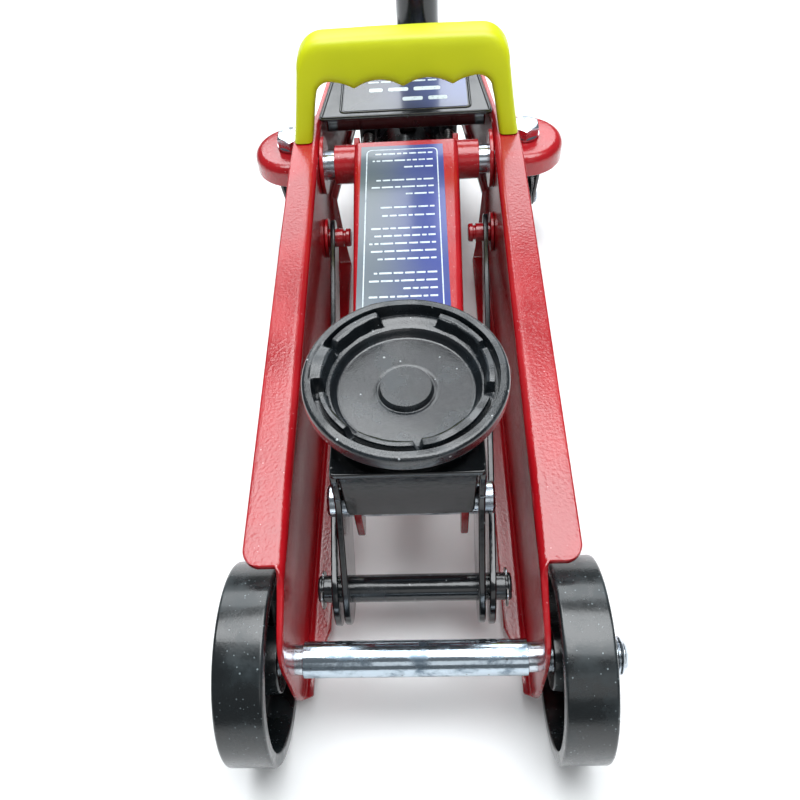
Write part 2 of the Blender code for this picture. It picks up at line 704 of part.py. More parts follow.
# ------------------------------------------------------------------ saddle bracket and saddle
def bracket_wall_outline():
    """Side view: level top, round at the link pin, and a heel round the arm's pin."""
    foot = arc(LINK_PIN_Y, LINK_PIN_Z, BRACKET_END_R, 165.0, 325.0, 10)
    return [(BRACKET_FRONT_Y, BRACKET_TOP_Z), (BRACKET_FRONT_Y, BRACKET_FACE_Z + 0.012)] + foot + [
        (HEAD_Y + 0.014, HEAD_Z - 0.007), (HEAD_Y + 0.024, HEAD_Z + 0.016),
        (BRACKET_REAR_Y, BRACKET_TOP_Z - 0.014), (BRACKET_REAR_Y, BRACKET_TOP_Z)]


def saddle_bracket(bracket):
    """A folded box, open below and behind, that carries the saddle above the arm's nose."""
    outline = bracket_wall_outline()
    middle = BRACKET_X - BRACKET_T / 2
    obj = plate("saddle_bracket", outline, BRACKET_T)
    put(obj, bracket, (middle, 0.0, 0.0), FACING_X)
    other = plate("bracket_wall_left", outline, BRACKET_T, CUTTERS)
    join(obj, put(other, bracket, (-middle, 0.0, 0.0), FACING_X))
    inset = WELD_INSET
    wide = BRACKET_X - inset
    top = box("bracket_top", (-wide, BRACKET_FRONT_Y + inset, BRACKET_TOP_Z - BRACKET_T),
              (wide, BRACKET_REAR_Y - inset, BRACKET_TOP_Z - inset), CUTTERS)
    join(obj, put(top, bracket))
    face = box("bracket_face", (-wide, BRACKET_FRONT_Y + inset, BRACKET_FACE_Z),
               (wide, BRACKET_FRONT_Y + BRACKET_T, BRACKET_TOP_Z - 0.001), CUTTERS)
    join(obj, put(face, bracket))
    drill(obj, bracket, (0.0, HEAD_Y, HEAD_Z), BRACKET_PIN_R + RUNNING, 0.05, ALONG_X)
    drill(obj, bracket, (0.0, LINK_PIN_Y, LINK_PIN_Z), LINK_PIN_R + GAP, 0.05, ALONG_X)
    drill(obj, bracket, (0.0, SADDLE_Y, BRACKET_TOP_Z), SADDLE_STEM_R + RUNNING, 0.01)
    finish(obj, BLACK_PAINT)


def link_pin(bracket):
    """A grooved pin across the bracket's feet; the lift links hang on its ends."""
    groove_out, groove_in = LINK_PIN_X - 0.0016, LINK_PIN_X - 0.0028
    half = [(LINK_PIN_R - 0.0006, LINK_PIN_X), (LINK_PIN_R, LINK_PIN_X - 0.0006),
            (LINK_PIN_R, groove_out), (LINK_PIN_R - 0.0012, groove_out),
            (LINK_PIN_R - 0.0012, groove_in), (LINK_PIN_R, groove_in)]
    mirrored = [(radius, -height) for radius, height in reversed(half)]
    pin = turned("link_pin", [(0.0, LINK_PIN_X)] + half + mirrored + [(0.0, -LINK_PIN_X)])
    finish(put(pin, bracket, (0.0, LINK_PIN_Y, LINK_PIN_Z), ALONG_X), BLACK_PAINT)


def saddle(saddle_body):
    """A cast cup with a raised rim and a middle boss, on a stem that turns in the bracket."""
    foot_z = BRACKET_TOP_Z + GAP
    rim_in = SADDLE_R - SADDLE_RIM
    obj = turned("saddle", [
        (0.0, SADDLE_FLOOR_Z + SADDLE_BOSS_H), (SADDLE_BOSS_R - 0.0008, SADDLE_FLOOR_Z + SADDLE_BOSS_H),
        (SADDLE_BOSS_R, SADDLE_FLOOR_Z), (SADDLE_FLOOR_R, SADDLE_FLOOR_Z),
        (SADDLE_FLOOR_R + 0.004, SADDLE_FLOOR_Z + 0.002), (rim_in - 0.0008, SADDLE_TOP_Z - 0.003),
        (rim_in, SADDLE_TOP_Z), (SADDLE_R - 0.0006, SADDLE_TOP_Z), (SADDLE_R, SADDLE_TOP_Z - 0.0006),
        (SADDLE_R, SADDLE_TOP_Z - 0.0070), (SADDLE_R - 0.0025, SADDLE_TOP_Z - 0.0105),
        (SADDLE_FOOT_R + 0.001, foot_z + 0.001), (SADDLE_FOOT_R, foot_z), (SADDLE_STEM_R, foot_z),
        (SADDLE_STEM_R, SADDLE_STEM_Z + 0.004), (SADDLE_STEM_R - 0.0015, SADDLE_STEM_Z + 0.004),
        (SADDLE_STEM_R - 0.0015, SADDLE_STEM_Z + 0.002), (SADDLE_STEM_R, SADDLE_STEM_Z + 0.002),
        (SADDLE_STEM_R, SADDLE_STEM_Z), (0.0, SADDLE_STEM_Z)], steps=FINE)
    finish(put(obj, saddle_body, (0.0, SADDLE_Y, 0.0)), BLACK_CAST)
    low = SADDLE_STEM_Z + 0.002 + GAP
    clip = tube("saddle_clip", SADDLE_STEM_R + 0.003, SADDLE_STEM_R - 0.0015 + GAP, low,
                low + SADDLE_CLIP_T - 0.0003)
    finish(put(clip, saddle_body, (0.0, SADDLE_Y, 0.0)), STEEL)


# ------------------------------------------------------------------ lift links
def link_x(y):
    """The links spread from the bracket's feet to the studs on the side plates."""
    share = (y - LINK_PIN_Y) / (LINK_Y - LINK_PIN_Y)
    return LINK_X_FRONT + (LINK_X_REAR - LINK_X_FRONT) * share


def lift_link(name, link, side):
    outline = bar_outline((LINK_PIN_Y, LINK_PIN_Z), LINK_R_FRONT, (LINK_Y, LINK_Z), LINK_R_REAR)
    obj = plate(name, outline, LINK_T)
    for vertex in obj.data.vertices:
        vertex.co.z += side * link_x(vertex.co.x)
    put(obj, link, turn=FACING_X)
    open_pivot = LINK_PIN_R + 2 * RUNNING
    drill(obj, link, (side * LINK_X_FRONT, LINK_PIN_Y, LINK_PIN_Z), open_pivot, 0.01, ALONG_X)
    drill(obj, link, (side * LINK_X_REAR, LINK_Y, LINK_Z), STUD_R + RUNNING, 0.01, ALONG_X)
    finish(obj, BLACK_PAINT)


# ------------------------------------------------------------------ power unit
def ram(ram_body):
    """The piston rod, and the slotted head that pushes the crank pin."""
    head_front = CRANK_Y - RAM_HEAD_L / 2
    head_rear = CRANK_Y + RAM_HEAD_L / 2
    head = box("ram_head", (-RAM_HEAD_X, head_front, RAM_Z - RAM_HEAD_H / 2),
               (RAM_HEAD_X, head_rear, RAM_Z + RAM_HEAD_H / 2))
    put(head, ram_body)
    slot_r = CRANK_PIN_R + SLOT_PLAY
    low, high = (CRANK_Y, RAM_Z - CRANK_DIP / 2), (CRANK_Y, RAM_Z + CRANK_DIP / 2)
    slot = plate("ram_slot", bar_outline(low, slot_r, high, slot_r), 4 * RAM_HEAD_X, CUTTERS)
    cut(head, put(slot, ram_body, turn=FACING_X))
    finish(head, STEEL)
    piston = rod("ram_rod", ROD_R, head_rear + GAP, ROD_REAR_Y, 0.001)
    finish(put(piston, ram_body, (0.0, 0.0, RAM_Z), ALONG_Y), STEEL)


def power_unit(frame):
    front = TANK_FRONT_Y + TANK_T + GAP
    cylinder_tube = tube("ram_cylinder", CYLINDER_R, ROD_R + RUNNING, TANK_FRONT_Y, BLOCK_FRONT_Y - GAP)
    finish(put(cylinder_tube, frame, (0.0, 0.0, RAM_Z), ALONG_Y), STEEL)
    gland = turned("gland_nut", [
        (GLAND_R, TANK_FRONT_Y - GAP), (GLAND_R, TANK_FRONT_Y - GLAND_T + 0.001),
        (GLAND_R - 0.001, TANK_FRONT_Y - GLAND_T), (ROD_R + RUNNING, TANK_FRONT_Y - GLAND_T),
        (ROD_R + RUNNING, TANK_FRONT_Y - GAP)], ring=True)
    finish(put(gland, frame, (0.0, 0.0, RAM_Z), ALONG_Y), ZINC)
    tank = turned("reservoir_tank", [
        (TANK_R, BLOCK_FRONT_Y - GAP), (TANK_R, front), (TANK_R - 0.002, front - TANK_T),
        (CYLINDER_R + GAP, front - TANK_T), (CYLINDER_R + GAP, front),
        (TANK_R - TANK_T, front), (TANK_R - TANK_T, BLOCK_FRONT_Y - GAP)], ring=True)
    put(tank, frame, (0.0, 0.0, RAM_Z), ALONG_Y)
    plug_y = (TANK_FRONT_Y + BLOCK_FRONT_Y) / 2
    drill(tank, frame, (0.0, plug_y, RAM_Z + TANK_R), PLUG_R + GAP, 0.0055)
    finish(tank, BLACK_CAST)
    top = RAM_Z + TANK_R + GAP
    plug = turned("filler_plug", [
        (0.0, top + 0.003), (PLUG_HEAD_R - 0.001, top + 0.003), (PLUG_HEAD_R, top + 0.002),
        (PLUG_HEAD_R, top), (PLUG_R, top), (PLUG_R, top - TANK_T - 0.001), (0.0, top - TANK_T - 0.001)])
    finish(put(plug, frame, (0.0, plug_y, 0.0)), RUBBER)
    pump_block(frame)


def lug_outline():
    top = arc(YOKE_Y, YOKE_Z, LUG_R, 0.0, 180.0, 8)
    return top + [(YOKE_Y - LUG_R, BLOCK_TOP_Z - 0.002), (YOKE_Y + LUG_R, BLOCK_TOP_Z - 0.002)]


def pump_block(frame):
    """The cast block behind the tank: ram bore, pump bore, release valve seat and yoke lugs."""
    block = box("pump_block", (-BLOCK_X, BLOCK_FRONT_Y, BLOCK_BOTTOM_Z),
                (BLOCK_X, BLOCK_REAR_Y, BLOCK_TOP_Z))
    put(block, frame)
    for side in (-1, 1):
        lug = plate("yoke_lug_" + str(side), lug_outline(), LUG_T, CUTTERS)
        put(lug, frame, (SOCKET_X + side * (LUG_X + LUG_T / 2), 0.0, 0.0), FACING_X)
        join(block, lug)
    drill(block, frame, (SOCKET_X, YOKE_Y, YOKE_Z), YOKE_BOLT_R + GAP, 0.04, ALONG_X)
    bore = cylinder("ram_bore", ROD_R + RUNNING, BLOCK_FRONT_Y - 0.01, BORE_END_Y, group=CUTTERS)
    cut(block, put(bore, frame, (0.0, 0.0, RAM_Z), ALONG_Y))
    pump = cylinder("pump_bore", PLUNGER_R + RUNNING, PLUNGER_BORE_Z, BLOCK_TOP_Z + 0.01, group=CUTTERS)
    cut(block, put(pump, frame, (SOCKET_X, ROLLER_Y, 0.0)))
    seat = cylinder("valve_seat", SPINDLE_R + RUNNING, SPINDLE_BOTTOM_Z - GAP, BLOCK_TOP_Z + 0.01,
                    16, CUTTERS)
    cut(block, put(seat, frame, (SOCKET_X, YOKE_Y - SPINDLE_AHEAD, 0.0)))
    drill(block, frame, (0.0, TRUNNION_Y, TRUNNION_Z), TRUNNION_R + GAP, 2 * BLOCK_X, ALONG_X)
    finish(block, BLACK_CAST)


def trunnion_bolt(frame, name, side):
    head = web_x(TRUNNION_Y - 0.008) + 0.0008
    obj = cylinder(name, TRUNNION_R, BLOCK_X - 0.012, head + 0.001)
    turn = ALONG_X if side > 0 else (0.0, -pi / 2, 0.0)
    put(obj, frame, (0.0, TRUNNION_Y, TRUNNION_Z), turn)
    cap = hexagon(name + "_head", 0.013, head, head + 0.005, CUTTERS)
    join(obj, put(cap, frame, (0.0, TRUNNION_Y, TRUNNION_Z), turn))
    finish(obj, ZINC)


def return_spring(frame, name, side):
    """The outline of a close-wound extension spring, from the crank pin to the pump block."""
    low = CRANK_Y + CRANK_PIN_R + GAP
    high = BLOCK_FRONT_Y - GAP
    coil = cylinder(name, SPRING_R, low, high, 12)
    finish(put(coil, frame, (side * SPRING_X, 0.0, CRANK_Z), ALONG_Y), STEEL)


# ------------------------------------------------------------------ pump linkage
def handle_socket(yoke):
    """The rocking yoke: a block on the yoke bolt, the tube for the handle, two roller cheeks."""
    obj = turned("handle_socket", [
        (0.0, SOCKET_FLOOR_Z), (SOCKET_BORE_R, SOCKET_FLOOR_Z), (SOCKET_BORE_R, SOCKET_TOP_Z),
        (SOCKET_R - 0.0005, SOCKET_TOP_Z), (SOCKET_R, SOCKET_TOP_Z - 0.0005),
        (SOCKET_R, SOCKET_LOW_Z), (0.0, SOCKET_LOW_Z)], steps=24)
    put(obj, yoke, (SOCKET_X, YOKE_Y, 0.0))
    crown = arc(YOKE_Y, YOKE_Z, YOKE_R, 180.0, 360.0, 8)
    outline = crown + [(YOKE_Y + YOKE_NECK, SOCKET_LOW_Z), (YOKE_Y + YOKE_NECK, SOCKET_FLOOR_Z - 0.002),
                       (YOKE_Y - YOKE_NECK, SOCKET_FLOOR_Z - 0.002), (YOKE_Y - YOKE_NECK, SOCKET_LOW_Z)]
    block = plate("yoke_block", outline, 2 * YOKE_X, CUTTERS)
    join(obj, put(block, yoke, (SOCKET_X, 0.0, 0.0), FACING_X))
    shape = bar_outline((YOKE_Y, YOKE_Z), ROLLER_CHEEK_R, (ROLLER_Y, ROLLER_Z), ROLLER_CHEEK_R)
    for side in (-1, 1):
        cheek = plate("roller_cheek_" + str(side), shape, YOKE_X - ROLLER_X - 0.0012, CUTTERS)
        middle = (YOKE_X + ROLLER_X + 0.0008) / 2
        join(obj, put(cheek, yoke, (SOCKET_X + side * middle, 0.0, 0.0), FACING_X))
    relief = cylinder("roller_relief", ROLLER_R + 0.0008, -ROLLER_X - 0.001, ROLLER_X + 0.001,
                      group=CUTTERS)
    cut(obj, put(relief, yoke, (SOCKET_X, ROLLER_Y, ROLLER_Z), ALONG_X))
    drill(obj, yoke, (SOCKET_X, YOKE_Y, YOKE_Z), YOKE_BOLT_R + RUNNING, 0.03, ALONG_X)
    drill(obj, yoke, (SOCKET_X, ROLLER_Y, ROLLER_Z), ROLLER_PIN_R + GAP, 0.03, ALONG_X)
    finish(obj, BLACK_PAINT)


def pump_pieces(frame, yoke, plunger):
    end = LUG_X + LUG_T + 0.003
    bolt = rod("yoke_bolt", YOKE_BOLT_R, -end, end)
    finish(put(bolt, frame, (SOCKET_X, YOKE_Y, YOKE_Z), ALONG_X), ZINC)
    pin_end = YOKE_X - 0.0005
    roller = turned("pump_roller", [
        (0.0, pin_end), (ROLLER_PIN_R, pin_end), (ROLLER_PIN_R, ROLLER_X), (ROLLER_R, ROLLER_X),
        (ROLLER_R, -ROLLER_X), (ROLLER_PIN_R, -ROLLER_X), (ROLLER_PIN_R, -pin_end), (0.0, -pin_end)])
    finish(put(roller, yoke, (SOCKET_X, ROLLER_Y, ROLLER_Z), ALONG_X), STEEL)
    cap_low = PLUNGER_TOP_Z - PLUNGER_CAP_T
    piston = turned("pump_plunger", [
        (0.0, PLUNGER_TOP_Z), (PLUNGER_CAP_R - 0.0005, PLUNGER_TOP_Z),
        (PLUNGER_CAP_R, PLUNGER_TOP_Z - 0.0005), (PLUNGER_CAP_R, cap_low), (PLUNGER_R, cap_low),
        (PLUNGER_R, PLUNGER_BOTTOM_Z), (0.0, PLUNGER_BOTTOM_Z)])
    finish(put(piston, plunger, (SOCKET_X, ROLLER_Y, 0.0)), STEEL)
    spring = tube("plunger_spring", PLUNGER_CAP_R - GAP, PLUNGER_R + GAP, BLOCK_TOP_Z + GAP,
                  cap_low - GAP)
    finish(put(spring, frame, (SOCKET_X, ROLLER_Y, 0.0)), STEEL)


def release_pieces(spindle_body, key_body):
    """The valve spindle in the pump block, and the key at the foot of the socket."""
    spindle = cylinder("release_spindle", SPINDLE_R, SPINDLE_BOTTOM_Z, BLOCK_TOP_Z + 0.001)
    put(spindle, spindle_body, (SOCKET_X, YOKE_Y - SPINDLE_AHEAD, 0.0))
    head = hexagon("spindle_head", 2 * SPINDLE_HEAD_R * cos(pi / 6), BLOCK_TOP_Z + GAP,
                   BLOCK_TOP_Z + 0.0035, CUTTERS)
    join(spindle, put(head, spindle_body, (SOCKET_X, YOKE_Y - SPINDLE_AHEAD, 0.0)))
    finish(spindle, ZINC)
    low = SOCKET_FLOOR_Z + GAP
    key = cylinder("release_key", SOCKET_BORE_R - RUNNING, low, low + KEY_T)
    put(key, key_body, (SOCKET_X, YOKE_Y, 0.0))
    wide = TUBE_R - 0.0006
    tab = box("key_tab", (-wide, -KEY_TAB_T / 2, low + KEY_T / 2),
              (wide, KEY_TAB_T / 2, low + KEY_T + KEY_TAB_H), CUTTERS)
    join(key, put(tab, key_body, (SOCKET_X, YOKE_Y, 0.0)))
    finish(key, ZINC)


# ------------------------------------------------------------------ handle
def handle_base_z():
    return SOCKET_FLOOR_Z + KEY_T + 2 * GAP


def button_z():
    return handle_base_z() + LOWER_TUBE_L - TUBE_OVERLAP / 2


def handle(rod_body, button_body):
    """Two tubes, the upper one sleeved over the lower and held by a snap button."""
    base = handle_base_z()
    lower_top = base + LOWER_TUBE_L
    lower = tube("handle_lower_tube", TUBE_R, TUBE_R - TUBE_T, base, lower_top, FINE)
    put(lower, rod_body, (SOCKET_X, YOKE_Y, 0.0))
    slot = box("key_slot", (-TUBE_R - 0.002, -KEY_TAB_T / 2 - GAP, base - 0.002),
               (TUBE_R + 0.002, KEY_TAB_T / 2 + GAP, base + KEY_TAB_H + 0.001), CUTTERS)
    cut(lower, put(slot, rod_body, (SOCKET_X, YOKE_Y, 0.0)))
    at_button = (SOCKET_X, YOKE_Y - TUBE_R, button_z())
    drill(lower, rod_body, at_button, BUTTON_R + RUNNING, 0.006, ALONG_Y)
    finish(lower, BLACK_PAINT)
    upper_low = lower_top - TUBE_OVERLAP
    upper_in = TUBE_R + GAP
    upper = tube("handle_upper_tube", upper_in + UPPER_TUBE_T, upper_in, upper_low,
                 upper_low + UPPER_TUBE_L, FINE)
    put(upper, rod_body, (SOCKET_X, YOKE_Y, 0.0))
    drill(upper, rod_body, at_button, BUTTON_R + RUNNING, 0.006, ALONG_Y)
    finish(upper, BLACK_PAINT)
    outside = TUBE_R + GAP + UPPER_TUBE_T + BUTTON_OUT
    button = turned("snap_button", [
        (0.0, outside), (BUTTON_R * 0.6, outside - 0.0004), (BUTTON_R, outside - 0.0018),
        (BUTTON_R, TUBE_R - TUBE_T - 0.001), (0.0, TUBE_R - TUBE_T - 0.001)])
    finish(put(button, button_body, (SOCKET_X, YOKE_Y, button_z()), (pi / 2, 0.0, 0.0)), ZINC)
    grip_out = upper_in + UPPER_TUBE_T + GAP + GRIP_T
    grip_in = upper_in + UPPER_TUBE_T + GAP
    top = upper_low + UPPER_TUBE_L
    grip = turned("handle_grip", [
        (0.0, top + GAP + GRIP_T), (grip_out - 0.002, top + GAP + GRIP_T),
        (grip_out, top + GAP + GRIP_T - 0.002), (grip_out, top - GRIP_L), (grip_in, top - GRIP_L),
        (grip_in, top + GAP), (0.0, top + GAP)], steps=FINE)
    finish(put(grip, rod_body, (SOCKET_X, YOKE_Y, 0.0)), RUBBER)


# ------------------------------------------------------------------ cover and carrying handle
def cover_half_width(y):
    return web_x(y) - COVER_INSET


def cover_plate(frame):
    """A pressed cover over the power unit, with a sunk panel and a notch for the socket."""
    notch_front = YOKE_Y - SOCKET_R - 0.005
    front, rear = COVER_FRONT_Y, COVER_REAR_Y
    corner = 0.004
    half = [(cover_half_width(front) - corner, front), (cover_half_width(front), front + corner),
            (cover_half_width(rear), rear)]
    outline = half + [(SOCKET_X + NOTCH_X, rear), (SOCKET_X + NOTCH_X, notch_front + 0.006),
                      (SOCKET_X + NOTCH_X - 0.006, notch_front), (SOCKET_X - NOTCH_X + 0.006, notch_front),
                      (SOCKET_X - NOTCH_X, notch_front + 0.006), (SOCKET_X - NOTCH_X, rear)]
    outline += [(-x, y) for x, y in reversed(half)]
    obj = plate("cover_plate", outline, COVER_T)
    put(obj, frame, (0.0, 0.0, COVER_Z + COVER_T / 2))
    lip_x = web_x(front) - PLATE_T - LIP_BEND_R
    lip = box("cover_lip", (-lip_x, front + 0.0002, COVER_Z - COVER_LIP),
              (lip_x, front + COVER_T, COVER_Z + 0.001), CUTTERS)
    join(obj, put(lip, frame))
    top = COVER_Z + COVER_T
    panel = box("cover_panel", (-PANEL_X, PANEL_FRONT_Y, top - PANEL_DEEP),
                (PANEL_X, PANEL_REAR_Y, top + 0.002), CUTTERS)
    cut(obj, put(panel, frame))
    finish(obj, BLACK_PLASTIC)


def carry_screw_x():
    return (CARRY_FOOT_IN_X + CARRY_FOOT_OUT_X) / 2


def carry_screw_y():
    return CARRY_FRONT_Y + CARRY_T / 2


def carry_outline():
    """Front view of the carrying handle: two legs, a bar, and finger rests below it."""
    foot = CREST_Z + 2 * GAP
    out = arc(CARRY_BAR_X - CARRY_CORNER_R, CARRY_TOP_Z - CARRY_CORNER_R, CARRY_CORNER_R, 0.0, 90.0, 5)
    outer = [(CARRY_FOOT_OUT_X, foot), (CARRY_FOOT_OUT_X - 0.0015, foot + 0.014)] + out
    inner_top = arc(CARRY_BAR_X - 0.0185, CARRY_RECESS_Z - 0.0085, 0.0085, 90.0, 0.0, 4)
    rests = [(0.0, CARRY_CUSP_Z)]
    for middle in (0.5, 1.5):
        left, right = (middle - 0.5) * CARRY_CUSP_STEP, (middle + 0.5) * CARRY_CUSP_STEP
        for share in (0.25, 0.5, 0.75):
            rise = sin(pi * share) ** 0.7
            rests.append((left + (right - left) * share,
                          CARRY_CUSP_Z + (CARRY_RECESS_Z - CARRY_CUSP_Z) * rise))
        if middle < 1.0:
            rests.append((right, CARRY_CUSP_Z))
    rests = [point for point in rests if point[0] < inner_top[0][0] - 0.001]
    legs = [(CARRY_FOOT_IN_X - 0.0008, foot + 0.012), (CARRY_FOOT_IN_X, foot)]
    half_inner = rests + inner_top + legs
    left_outer = [(-x, z) for x, z in reversed(outer)]
    left_inner = [(-x, z) for x, z in reversed(half_inner)]
    return outer + left_outer + left_inner[:-1] + half_inner


def carry_handle(frame):
    """A moulded loop that stands on the two top flanges and leans back."""
    obj = plate("carry_handle", carry_outline(), CARRY_T)
    for vertex in obj.data.vertices:
        across, up, deep = vertex.co
        along = CARRY_FRONT_Y + CARRY_T / 2 - deep + CARRY_LEAN * (up - CREST_Z)
        vertex.co = (across, along, up)
    put(obj, frame)
    for side in (-1, 1):
        at = (side * carry_screw_x(), carry_screw_y(), CREST_Z)
        drill(obj, frame, at, CARRY_SCREW_R + GAP / 2, CARRY_SCREW_DEEP + GAP, steps=12)
    finish(obj, YELLOW_PLASTIC)


def carry_screw(frame, name, side):
    head_top = CREST_Z - PLATE_T - 0.0006
    top = CREST_Z + CARRY_SCREW_DEEP
    obj = turned(name, [
        (0.0, top), (CARRY_SCREW_R * 0.5, top), (CARRY_SCREW_R, top - 0.002),
        (CARRY_SCREW_R, head_top), (0.0045, head_top), (0.0040, head_top - 0.002),
        (0.0, head_top - 0.003)], steps=12)
    finish(put(obj, frame, (side * carry_screw_x(), carry_screw_y(), 0.0)), ZINC)


# ------------------------------------------------------------------ casters
def ear_outline():
    """Top view: a round ear drawn out to meet the side plate."""
    root = web_x(CASTER_Y - EAR_R) + BEND_R
    wide = EAR_R + EAR_ROOT
    nose = arc(CASTER_X, CASTER_Y, EAR_R, -90.0, 90.0, 12)
    return nose + [(root, CASTER_Y + wide), (root, CASTER_Y - wide)]


def caster_ear(frame, name, side):
    """A pressed cup, open below, welded to the outside of a side plate."""
    outline = [(side * x, y) for x, y in ear_outline()]
    if side < 0:
        outline.reverse()
    obj = plate(name, outline, EAR_SKIRT)
    put(obj, frame, (0.0, 0.0, EAR_TOP_Z - EAR_SKIRT / 2))
    bevel = obj.modifiers.new("edge", "BEVEL")
    bevel.width = 0.003
    bevel.segments = 2
    bevel.limit_method = "ANGLE"
    bevel.angle_limit = radians(60.0)
    hollow = cylinder(name + "_hollow", EAR_R - EAR_T, EAR_TOP_Z - EAR_SKIRT - 0.01,
                      EAR_TOP_Z - EAR_T, group=CUTTERS)
    cut(obj, put(hollow, frame, (side * CASTER_X, CASTER_Y, 0.0)))
    drill(obj, frame, (side * CASTER_X, CASTER_Y, EAR_TOP_Z), KING_R + GAP, 0.01)
    finish(obj, RED_PAINT)


def king_bolt(frame, names, side):
    """The caster's pivot bolt, head up on its washer face, and the nut below the fork."""
    seat = EAR_TOP_Z + GAP
    fork_low = FORK_TOP_Z - FORK_T
    nut_high = fork_low - GAP
    nut_low = nut_high - KING_NUT_T
    bolt = turned(names[0], [
        (0.0, seat + KING_WASHER_T), (0.0095, seat + KING_WASHER_T), (0.0095, seat), (KING_R, seat),
        (KING_R, nut_low - 0.001), (0.0, nut_low - 0.001)])
    put(bolt, frame, (side * CASTER_X, CASTER_Y, 0.0))
    head = hexagon(names[0] + "_head", KING_HEAD_AF, seat + 0.001,
                   seat + KING_WASHER_T + KING_HEAD_T, CUTTERS)
    join(bolt, put(head, frame, (side * CASTER_X, CASTER_Y, 0.0)))
    finish(bolt, ZINC)
    nut = hexagon(names[1], KING_NUT_AF, nut_low, nut_high)
    put(nut, frame, (side * CASTER_X, CASTER_Y, 0.0))
    drill(nut, frame, (side * CASTER_X, CASTER_Y, nut_low), KING_R + GAP, 0.02)
    finish(nut, ZINC)


def caster_fork(fork, name, side):
    """A pressed fork: a round plate under the ear and two arms that trail back to the axle."""
    top = FORK_TOP_Z
    obj = cylinder(name, FORK_PLATE_R, top - FORK_T, top, 24)
    put(obj, fork, (side * CASTER_X, CASTER_Y, 0.0))
    spacer = cylinder(name + "_race", FORK_PLATE_R - 0.003, top - 0.001, EAR_TOP_Z - EAR_T - GAP,
                      20, CUTTERS)
    join(obj, put(spacer, fork, (side * CASTER_X, CASTER_Y, 0.0)))
    axle_y = CASTER_Y + CASTER_TRAIL
    foot = arc(axle_y, CASTER_WHEEL_R, FORK_ARM_R, 190.0, 350.0, 6)
    outline = foot + [(CASTER_Y + FORK_PLATE_R - 0.004, top - 0.0005),
                      (CASTER_Y - FORK_PLATE_R + 0.004, top - 0.0005)]
    for hand in (-1, 1):
        arm = plate(name + "_arm_" + str(hand), outline, FORK_T, CUTTERS)
        middle = hand * (CASTER_WHEEL_W / 2 + SIDE_PLAY + FORK_T / 2)
        join(obj, put(arm, fork, (side * CASTER_X + middle, 0.0, 0.0), FACING_X))
    drill(obj, fork, (side * CASTER_X, CASTER_Y, top), KING_R + RUNNING, 0.02)
    at = (side * CASTER_X, axle_y, CASTER_WHEEL_R)
    drill(obj, fork, at, CASTER_AXLE_R + GAP, 0.02, ALONG_X)
    finish(obj, BLACK_PAINT)


def caster_wheel(fork, wheel, names, side):
    at = (side * CASTER_X, CASTER_Y + CASTER_TRAIL, CASTER_WHEEL_R)
    half = CASTER_WHEEL_W / 2
    fork_out = half + SIDE_PLAY + FORK_T
    axle = turned(names[0], [
        (0.0, fork_out + 0.0025), (0.005, fork_out + 0.0015), (0.005, fork_out + GAP),
        (CASTER_AXLE_R, fork_out + GAP), (CASTER_AXLE_R, -fork_out - GAP), (0.005, -fork_out - GAP),
        (0.005, -fork_out - 0.0015), (0.0, -fork_out - 0.0025)])
    finish(put(axle, fork, at, ALONG_X), ZINC)
    bore = CASTER_AXLE_R + RUNNING
    obj = turned(names[1], [
        (CASTER_WHEEL_R - 0.002, half), (CASTER_WHEEL_R, half - 0.002), (CASTER_WHEEL_R, 0.002 - half),
        (CASTER_WHEEL_R - 0.002, -half), (bore, -half), (bore, half)], ring=True, steps=FINE)
    finish(put(obj, wheel, at, ALONG_X), BLACK_PLASTIC)


# ------------------------------------------------------------------ assembly
def build():
    frame = body("frame", (0.0, 0.0, 0.0))
    for name, side in (("left", -1), ("right", 1)):
        side_plate(frame, "side_plate_" + name, side)
        link_stud(frame, "link_stud_" + name, side)
        trunnion_bolt(frame, "trunnion_bolt_" + name, side)
        carry_screw(frame, "carry_screw_" + name, side)
        caster_ear(frame, "caster_ear_" + name, side)
        king_bolt(frame, ("caster_bolt_" + name, "caster_nut_" + name), side)
        return_spring(frame, "return_spring_" + name, side)
        front_wheel("front_wheel_" + name, frame, side)
        link = body("lift_link_body_" + name, (0.0, LINK_Y, LINK_Z), frame)
        lift_link("lift_link_" + name, link, side)
        fork = body("caster_body_" + name, (side * CASTER_X, CASTER_Y, 0.0), frame)
        at_axle = (side * CASTER_X, CASTER_Y + CASTER_TRAIL, CASTER_WHEEL_R)
        wheel = body("caster_wheel_body_" + name, at_axle, fork)
        caster_fork(fork, "caster_fork_" + name, side)
        caster_wheel(fork, wheel, ("caster_axle_" + name, "caster_wheel_" + name), side)
    front_axle(frame)
    main_pivot(frame)
    power_unit(frame)
    cover_plate(frame)
    carry_handle(frame)
    arm = body("lift_arm_body", (0.0, PIVOT_Y, PIVOT_Z), frame)
    lift_arm(arm)
    arm_crank(arm)
    bracket_pin(arm)
    bracket = body("saddle_bracket_body", (0.0, HEAD_Y, HEAD_Z), arm)
    saddle_bracket(bracket)
    link_pin(bracket)
    saddle(body("saddle_body", (0.0, SADDLE_Y, SADDLE_TOP_Z), bracket))
    ram(body("ram_body", (0.0, CRANK_Y, RAM_Z), frame))
    yoke = body("yoke_body", (SOCKET_X, YOKE_Y, YOKE_Z), frame)
    handle_socket(yoke)
    pump_pieces(frame, yoke, body("plunger_body", (SOCKET_X, ROLLER_Y, PLUNGER_TOP_Z), frame))
    spindle = body("release_spindle_body", (SOCKET_X, YOKE_Y - SPINDLE_AHEAD, BLOCK_TOP_Z), frame)
    key = body("release_key_body", (SOCKET_X, YOKE_Y, SOCKET_FLOOR_Z), yoke)
    release_pieces(spindle, key)
    rod_body = body("handle_body", (SOCKET_X, YOKE_Y, handle_base_z()), key)
    button = body("snap_button_body", (SOCKET_X, YOKE_Y, button_z()), rod_body)
    handle(rod_body, button)


build()
